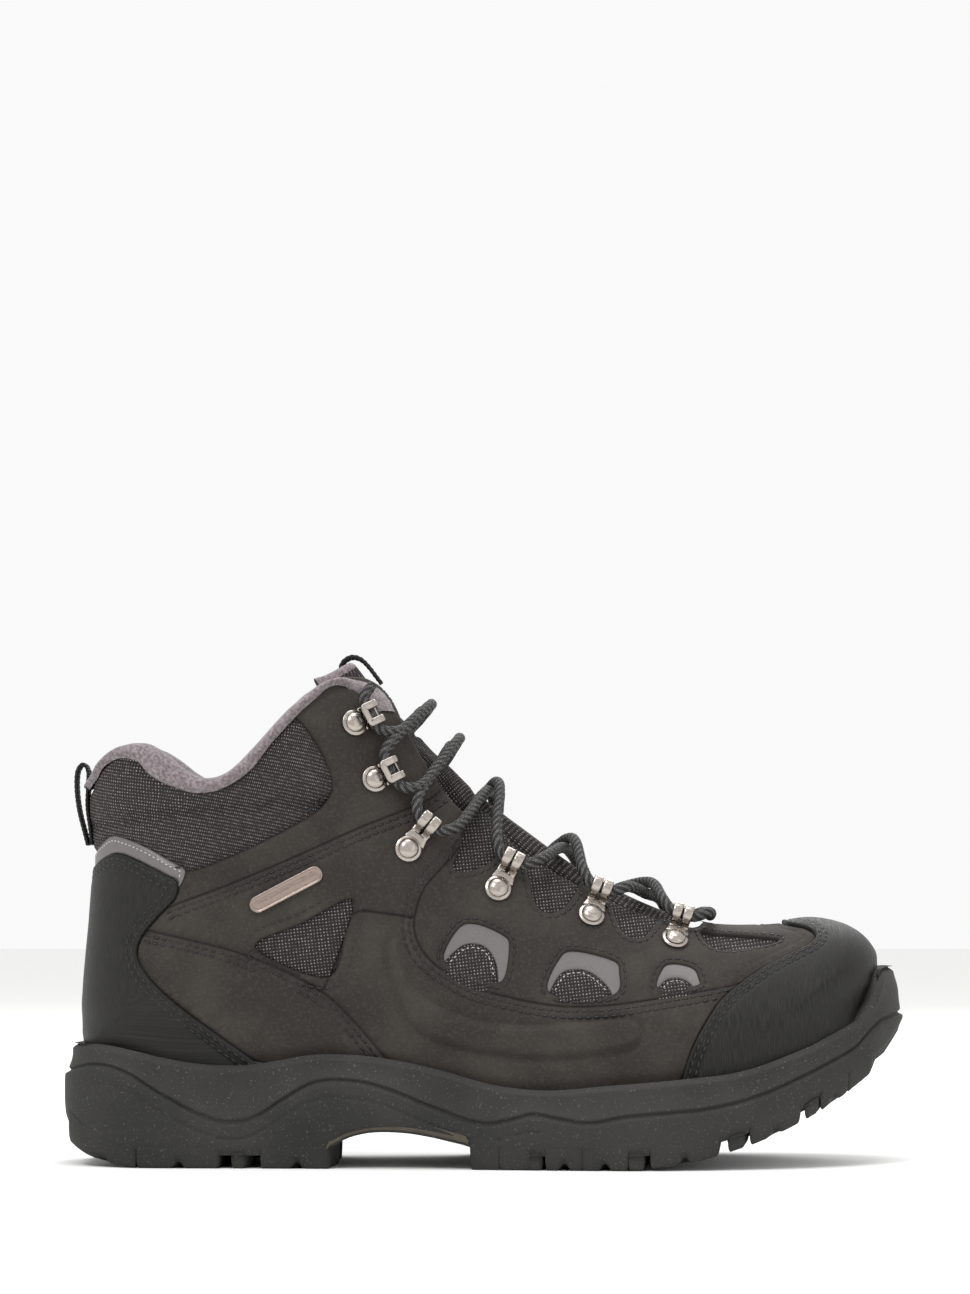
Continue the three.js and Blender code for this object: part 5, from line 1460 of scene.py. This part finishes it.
def laceRoute():
    seats = {side: [(name, seatOn(at, towards, side, plate["lift"])) for name, at, towards in holders]
              for side in (-1, 1)}
    through = plate["eye"] + plate["thickness"]

    def passing(side, i):
        name, seat = seats[side][i]
        way = 1 if side < 0 else -1
        if "loop" in name:
            spots = [(plate["loopReach"] + dx, y, through) for dx, y in
                     ((4.4, -8.4), (0, -4.4), (-0.2, 0), (0, 4.4), (4.4, 8.4))]
        else:
            x = plate["hookReach"] - plate["thickness"] - lace["diameter"] / 2 - 0.4
            z = plate["thickness"] + plate["gap"] / 2
            spots = [(x + dx, y, z) for dx, y in
                     ((6, -9.6), (0.6, -6.6), (-0.4, -2.4), (-0.4, 2.4), (0.6, 6.6), (6, 9.6))]
        return [np.array(seat @ Vector((x, way * y, z))) for x, y, z in spots]

    level = [float(ringOf(towards)[0][0]) for _, _, towards in holders]

    def ridge(s, height):
        return surface(s, 0.0, height)[0][0]

    halves = {}
    for side in (-1, 1):
        points, on = [], side
        for i in range(6):
            points += passing(on, i)
            if i < 5:
                over = (side < 0) == (i % 2 == 0)
                points.append(ridge((level[i] + level[i + 1]) / 2,
                                    lace["highCrossing"] if over else lace["lowCrossing"]))
                on = -on
        halves[side] = points
    bar = ridge(level[0] - 0.45, lace["lowCrossing"])
    return np.array(halves[-1][::-1] + [bar] + halves[1])


def centripetal(points, samples=26):
    out = []
    ends = np.vstack((2 * points[0] - points[1], points, 2 * points[-1] - points[-2]))
    for i in range(1, len(ends) - 2):
        p = ends[i - 1:i + 3]
        t = np.concatenate(([0], np.cumsum(np.sqrt(np.linalg.norm(np.diff(p, axis=0), axis=1)))))
        for u in np.linspace(t[1], t[2], samples, endpoint=False):
            a = [(p[k] * (t[k + 1] - u) + p[k + 1] * (u - t[k])) / (t[k + 1] - t[k]) for k in range(3)]
            b = [(a[k] * (t[k + 2] - u) + a[k + 1] * (u - t[k])) / (t[k + 2] - t[k]) for k in range(2)]
            out.append((b[0] * (t[2] - u) + b[1] * (u - t[1])) / (t[2] - t[1]))
    out.append(points[-1])
    return np.array(out)


def laceLook():
    line = resample(centripetal(laceRoute()), lace["step"])
    run = unit(np.gradient(line, axis=0))
    up = np.cross(run[0], (0, 0, 1))
    radius, sides = lace["diameter"] / 2, 18
    rows = []
    for i, (p, a) in enumerate(zip(line, run)):
        up = up - a * (up @ a)
        up /= np.linalg.norm(up)
        b = np.cross(a, up)
        ring = []
        for j in range(sides):
            turn = 2 * math.pi * j / sides
            travelled = i * lace["step"]
            weave = abs(math.sin(4 * turn + travelled * 1.9)) * abs(math.sin(4 * turn - travelled * 1.9))
            r = radius * (0.93 + 0.1 * weave)
            if i < 3 or i > len(line) - 4:
                r *= 0.86
            ring.append((p + (up * math.cos(turn) + b * math.sin(turn)) * r) * mm)
        rows.append(ring)
    piece, u, v = gridMesh("lace_braid", rows, closed=True, capped=True)
    uvLayer(piece, u * 2 * math.pi * radius / sides, v * lace["step"])
    attach(piece, braidedCord(), "lace", "lace")


# webbing loops

webbing = {
    "heel": {"width": 12, "thickness": 1.25, "path": [
        [-145.4, 117.5], [-146.2, 124], [-147.2, 132], [-146.9, 140], [-147.0, 145], [-148.8, 147.4],
        [-150.9, 144.6], [-151.2, 138], [-150.2, 130], [-148.2, 122], [-147.0, 117.4]]},
    "tongue": {"width": 16, "thickness": 1.5, "path": [
        [-38.4, 177.3], [-40.6, 180.2], [-43, 183.3], [-45.8, 186], [-49, 186.9], [-51.8, 185.6],
        [-53.2, 183.4], [-53.4, 181.4]]},
}


def webbingLook():
    weave = wovenWebbing()
    for name, body in (("heel", "heel_loop"), ("tongue", "tongue")):
        size = webbing[name]
        path = curveThrough(size["path"], 0.45)
        centre = float(along(centreLine, size["path"][0][0]))
        run = unit(np.gradient(path, axis=0))
        rows = []
        half, thick = size["width"] / 2, size["thickness"] / 2
        for i, ((x, z), (dx, dz)) in enumerate(zip(path, run)):
            rib = 1 + 0.12 * math.sin(i * 2 * math.pi / 4)
            ring = []
            for j in range(28):
                a = 2 * math.pi * j / 28
                y = half * squared(math.cos(a), 0.3)
                t = thick * rib * squared(math.sin(a), 0.4)
                t *= 1 - 0.25 * math.exp(-((abs(y) - half + 1.6) / 0.4) ** 2)
                ring.append(((x - dz * t) * mm, (centre + y) * mm, (z + dx * t) * mm))
            rows.append(ring)
        piece, u, v = gridMesh(name + "_loop_webbing", rows, closed=True, capped=True)
        uvLayer(piece, u * 1.0, v * 0.45)
        attach(piece, weave, "webbing", name + "_pull_loop", body=body)


# sole

sole = {
    "plan": [
        [-155, 0], [-147.5, -24], [-126, -37.5], [-90, -40], [-50, -42.5], [-10, -47], [28, -53], [62, -55.5],
        [95, -50], [124, -37.5], [145, -18], [155, 8], [149, 32], [128, 47], [98, 55], [62, 55.5], [28, 51.5],
        [-10, 44.5], [-50, 39.5], [-90, 37.5], [-126, 36.5], [-147.5, 24]],
    "wave": [
        [-160, 33], [-144, 37], [-132, 35], [-118, 27], [-102, 19], [-93, 16.8], [-84, 18.2], [-73, 25],
        [-63, 30.6], [-53, 32], [-38, 29.6], [-18, 22], [-1, 16.6], [10, 18.2], [17, 20], [27, 18.3],
        [37, 16.9], [50, 19.2], [68, 20.8], [81, 22.2], [100, 27], [119, 35], [135, 43], [146, 53],
        [160, 56]],
    "root": [
        [-160, 20], [-152, 12], [-145, 6.2], [-135, 5], [-62, 5], [-56, 7.5], [-50, 11], [-42, 13],
        [-32, 13.2], [-22, 12], [-8, 9], [0, 6.5], [14, 5.2], [56, 5.4], [72, 7.4], [84, 10], [96, 14],
        [110, 19.5], [124, 27], [137, 35], [147, 41], [153, 48], [160, 54]],
    "tread": [
        [-160, 12], [-152, 8], [-146, 4.6], [-139, 2.2], [-131, 0.6], [-126, 0], [50, 0], [60, 0.8], [75, 3],
        [88, 6.6], [100, 10.6], [113, 16.4], [127, 24], [140, 33], [150, 42], [160, 52]],
    "edgeBlocks": [
        [-152, -127], [-125.5, -97], [-80.5, -57], [-4.6, 5], [5.8, 16], [22.4, 34.6], [35.4, 50.8],
        [60, 83.4], [96, 113], [122, 131.2], [132, 140.5]],
    "middleBlocks": [
        [-141, -120], [-112, -92], [-76, -62], [2, 14], [22, 34], [43, 56], [66, 80], [90, 102], [112, 122]],
    "nubs": [[-91, -87.7], [15.9, 19.8], [52, 56.4], [88, 92.6], [116.2, 119.8]],
    "faceRise": 8.5,
    "notches": [-139, -111, -68, 28.5, 43, 71.5, 104.5, 126.5],  # arches cut into the outer blocks
}


def wallShape(x, z, rim, wave, root):
    # how far the moulded wall stands out at a height, mm
    out = -2.4 * smoothstep(rim - 2.6, rim, z) ** 2
    belly = np.clip((z - wave) / np.maximum(rim - wave, 1), 0, 1)
    out = out - 0.9 * np.sin(math.pi * belly)
    out = out - 1.3 * groove(z, wave, 0.7)
    out = out + 0.7 * (z < wave) * smoothstep(0, 1.4, wave - z)
    out = out - 0.55 * groove(z, wave - 6.2, 0.5) * ((x > -140) & (x < 20) & (wave - 6.2 > root + 2.5))
    out = out - 1.1 * (1 - smoothstep(root, root + 3.5, z))
    heel = 1 - smoothstep(-154, -140, x)
    out = out - heel * (2.0 * smoothstep(30, 46, z) + 1.4 * (1 - smoothstep(8, 24, z)))
    tip = smoothstep(138, 152, x)
    return out - tip * (2.6 * smoothstep(60, 72, z) ** 2 + 1.6 * (1 - smoothstep(44, 54, z)))


def planSetup():
    plan = closedPlan(sole["plan"], 1.1)
    run = np.roll(plan, -1, axis=0) - np.roll(plan, 1, axis=0)
    run /= np.linalg.norm(run, axis=1)[:, None]
    out = np.column_stack((run[:, 1], -run[:, 0]))
    if np.sum(out * (plan - plan.mean(axis=0))) < 0:
        out = -out
    return plan, out


def soleLook():
    plan, out = planSetup()
    x = plan[:, 0]
    rim, wave, root = rimHeight(x), along(sole["wave"], x), along(sole["root"], x)
    gridS, gridF = np.meshgrid(np.linspace(0, heelStation, 130), np.linspace(0, 1, 90))
    backS, backF = np.meshgrid(np.linspace(heelStation, 15, 40), np.linspace(0.5, 1, 50))
    tree = kdOf([surface(s.ravel(), f.ravel() * side, -0.6)[0]
                 for s, f in ((gridS, gridF), (backS, backF)) for side in (-1, 1)])
    lip = []
    for (px, py), (ox, oy), z in zip(plan, out, rim):
        lip.append(tuple(tree.find((px - ox * 6, py - oy * 6, z - 0.5))[0]))
    lip = np.array(lip)
    kernel = np.ones(9) / 9
    for k in range(3):
        lip[:, k] = np.convolve(np.concatenate((lip[-4:, k], lip[:, k], lip[:4, k])), kernel, "valid")

    rubber = mouldedRubber("moulded rubber", "#232322", "#31302e", 0.22)
    foam = mouldedRubber("moulded foam rubber", "#282726", "#353432", 0.25)

    def wall(name, low, high, count, inner):
        rows = []
        if inner is not None:
            rows.append(np.column_stack((inner[:, :2], high - 1.2)))
            rows.append(np.column_stack((inner[:, :2] * 0.45 + (plan - out * 3.4) * 0.55, high - 0.25)))
            rows.append(np.column_stack((plan - out * 3.0, high + 0.1)))
        for k in range(count):
            share = 1 - k / (count - 1)
            z = low + (high - low) * share
            push = wallShape(x, z, rim, wave, root)
            ring = plan + out * push[:, None]
            if inner is None:
                z = z + (along(sole["root"], ring[:, 0]) - root) * (1 - share)
            rows.append(np.column_stack((ring, z)))
        return gridMesh(name, [[tuple(p * mm) for p in row] for row in rows], closed=True)[0]

    upper = wall("midsole_wall", wave - 0.4, rim, 34, lip)
    attach(upper, foam, "midsole_foam", "midsole")
    lower = wall("outsole_wall", root, wave + 0.1, 30, None)

    # the underside between the blocks, and the blocks
    inner = plan + out * wallShape(x, root, rim, wave, root)[:, None]
    loop = resample(np.vstack((inner, inner[:1])), 2.4)[:-1]
    places, faces = fillLoops(loop, [], [], 4.0)
    points = np.column_stack((places, along(sole["root"], places[:, 0])))
    base = meshObject("outsole_base", points * mm, faces[:, ::-1])
    pieces = [lower, base]

    def block(outline, outer):
        # an outer block's face rises up the wall
        outline = resample(np.vstack((outline, outline[:1])), 1.1)[:-1]
        middle = outline.mean(axis=0)
        run = np.roll(outline, -1, axis=0) - np.roll(outline, 1, axis=0)
        run /= np.maximum(np.linalg.norm(run, axis=1), 1e-9)[:, None]
        away = np.column_stack((run[:, 1], -run[:, 0]))
        if np.sum(away * (outline - middle)) < 0:
            away = -away
        near = np.min(np.linalg.norm(outline[:, None, :] - plan[None, ::3, :], axis=2), axis=1) < 2.4
        dip = sum(groove(outline[:, 0], at, 1.5) for at in sole["notches"]) * near
        rows = []
        rise = sole["faceRise"] if outer else 1.4
        for inset, lift, share in ((1.4, rise, 1), (-0.5, rise - 0.4, 1), (-1.0, rise - 1.4, 1),
                                   (-1.0, 0.6, 1), (-0.8, 0.0, 0.5), (-0.6, 1.2, 0), (-0.3, 0.4, 0),
                                   (0.2, 0.06, 0), (0.9, 0.0, 0), (0, 0.0, -1)):
            ring = outline - away * inset
            if share < 0:
                ring = middle + (outline - middle) * 0.55
            top, bottom = along(sole["root"], ring[:, 0]), along(sole["tread"], ring[:, 0])
            z = bottom + lift if share <= 0 else (top + lift if share == 1 else (top + bottom) / 2)
            if share == 0:
                z = z + 3.0 * dip
            rows.append(np.column_stack((ring, z)))
        piece = gridMesh("outsole_block", [[tuple(p * mm) for p in row] for row in rows], closed=True)[0]
        return closeEnd(piece, range((len(rows) - 1) * len(outline), len(rows) * len(outline)))

    for side in (-1, 1):
        edgeLine = plan[(plan[:, 1] - along(centreLine, x)) * side > 0]
        edgeLine = edgeLine[np.argsort(edgeLine[:, 0])]
        for (a, b), inward in [(r, 13) for r in sole["edgeBlocks"]] + [(r, 30) for r in sole["nubs"]]:
            xs = np.linspace(a, b, max(3, int((b - a) / 2)))
            ys = np.interp(xs, edgeLine[:, 0], edgeLine[:, 1])
            outerLine = np.column_stack((xs, ys - side * 0.4))
            centre = float(along(centreLine, (a + b) / 2))
            innerLine = [[b + 3, centre + side * inward], [a + 3, centre + side * inward]]
            if abs(ys).min() < inward + 4:
                innerLine = [[b + 1, centre + side * 9], [a + 6, centre + side * 9]]
            pieces.append(block(np.vstack((outerLine, innerLine)), inward < 20))
    for a, b in sole["middleBlocks"]:
        c = float(along(centreLine, (a + b) / 2))
        pieces.append(block(np.array([[a, c - 8.5], [a + 3, c], [a, c + 8.5], [b, c + 8.5], [b + 3, c],
                                      [b, c - 8.5]]), False))
    piece = joinPieces(pieces, "outsole_rubber")
    facedOut(piece)
    attach(piece, rubber, "rubber", "outsole")
    archPlate(plan)


def archPlate(plan):
    # a moulded bridge between heel and ball
    xs = np.linspace(-57.2, -6.0, 44)
    top = along([[-57.6, 6], [-56.8, 9], [-52, 14.5], [-45, 17.8], [-34, 17.8], [-20, 14.8], [-7, 11.4],
                 [-5.6, 9]], xs)
    low = along(sole["root"], xs)
    rows = []
    for px, t, b in zip(xs, top, low):
        ring = []
        lateral = float(np.interp(px, *sideOf(plan, -1))) - 0.5
        medial = float(np.interp(px, *sideOf(plan, 1))) + 0.5
        for share, z in ((0.0, t + 1.0), (0.0, t), (0.002, (t + b) / 2), (0.006, b + 1.0), (0.02, b + 0.1),
                         (0.12, b - 0.3), (0.3, b + 0.4), (0.42, b + 0.4), (0.5, b - 0.8), (0.58, b + 0.4),
                         (0.7, b + 0.4), (0.88, b - 0.3), (0.98, b + 0.1), (0.994, b + 1.0),
                         (0.998, (t + b) / 2), (1.0, t), (1.0, t + 1.0)):
            ring.append((px * mm, (lateral + (medial - lateral) * share) * mm, z * mm))
        rows.append(ring)
    piece = gridMesh("arch_plate_shell", rows)[0]
    attach(piece, plainSolid("moulded thermoplastic", "#463e31", 0.55), "arch_plate", "arch_plate")


def sideOf(plan, side):
    centre = along(centreLine, plan[:, 0])
    line = plan[(plan[:, 1] - centre) * side > 0]
    line = line[np.argsort(line[:, 0])]
    return line[:, 0], line[:, 1]


def hiddenLook():
    # the pieces that only show when the boot is taken apart keep their plain shapes
    looks = {
        "heel_stiffener": ("moulded counter sheet", "#6f6b60", 0.6),
        "toe_puff": ("moulded toe puff", "#6f6b60", 0.6),
        "insole_board": ("pressed cellulose board", "#8a7656", 0.9)}
    for name, (words, colour, rough) in looks.items():
        paint(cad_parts[name], plainSolid(words, colour, rough))
    # the foam stands close to the lining's skin inside the heel, so it has the same finish
    paint(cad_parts["collar_foam"], bpy.data.materials["brushed fleece"])


# build

stages = (setStage, upperLook, seamsLook, liningLook, tongueLook, footbedLook, metalLook, badgeLook, laceLook,
          webbingLook, soleLook, hiddenLook)
for stage in stages:
    stage()
    print("done:", stage.__name__)
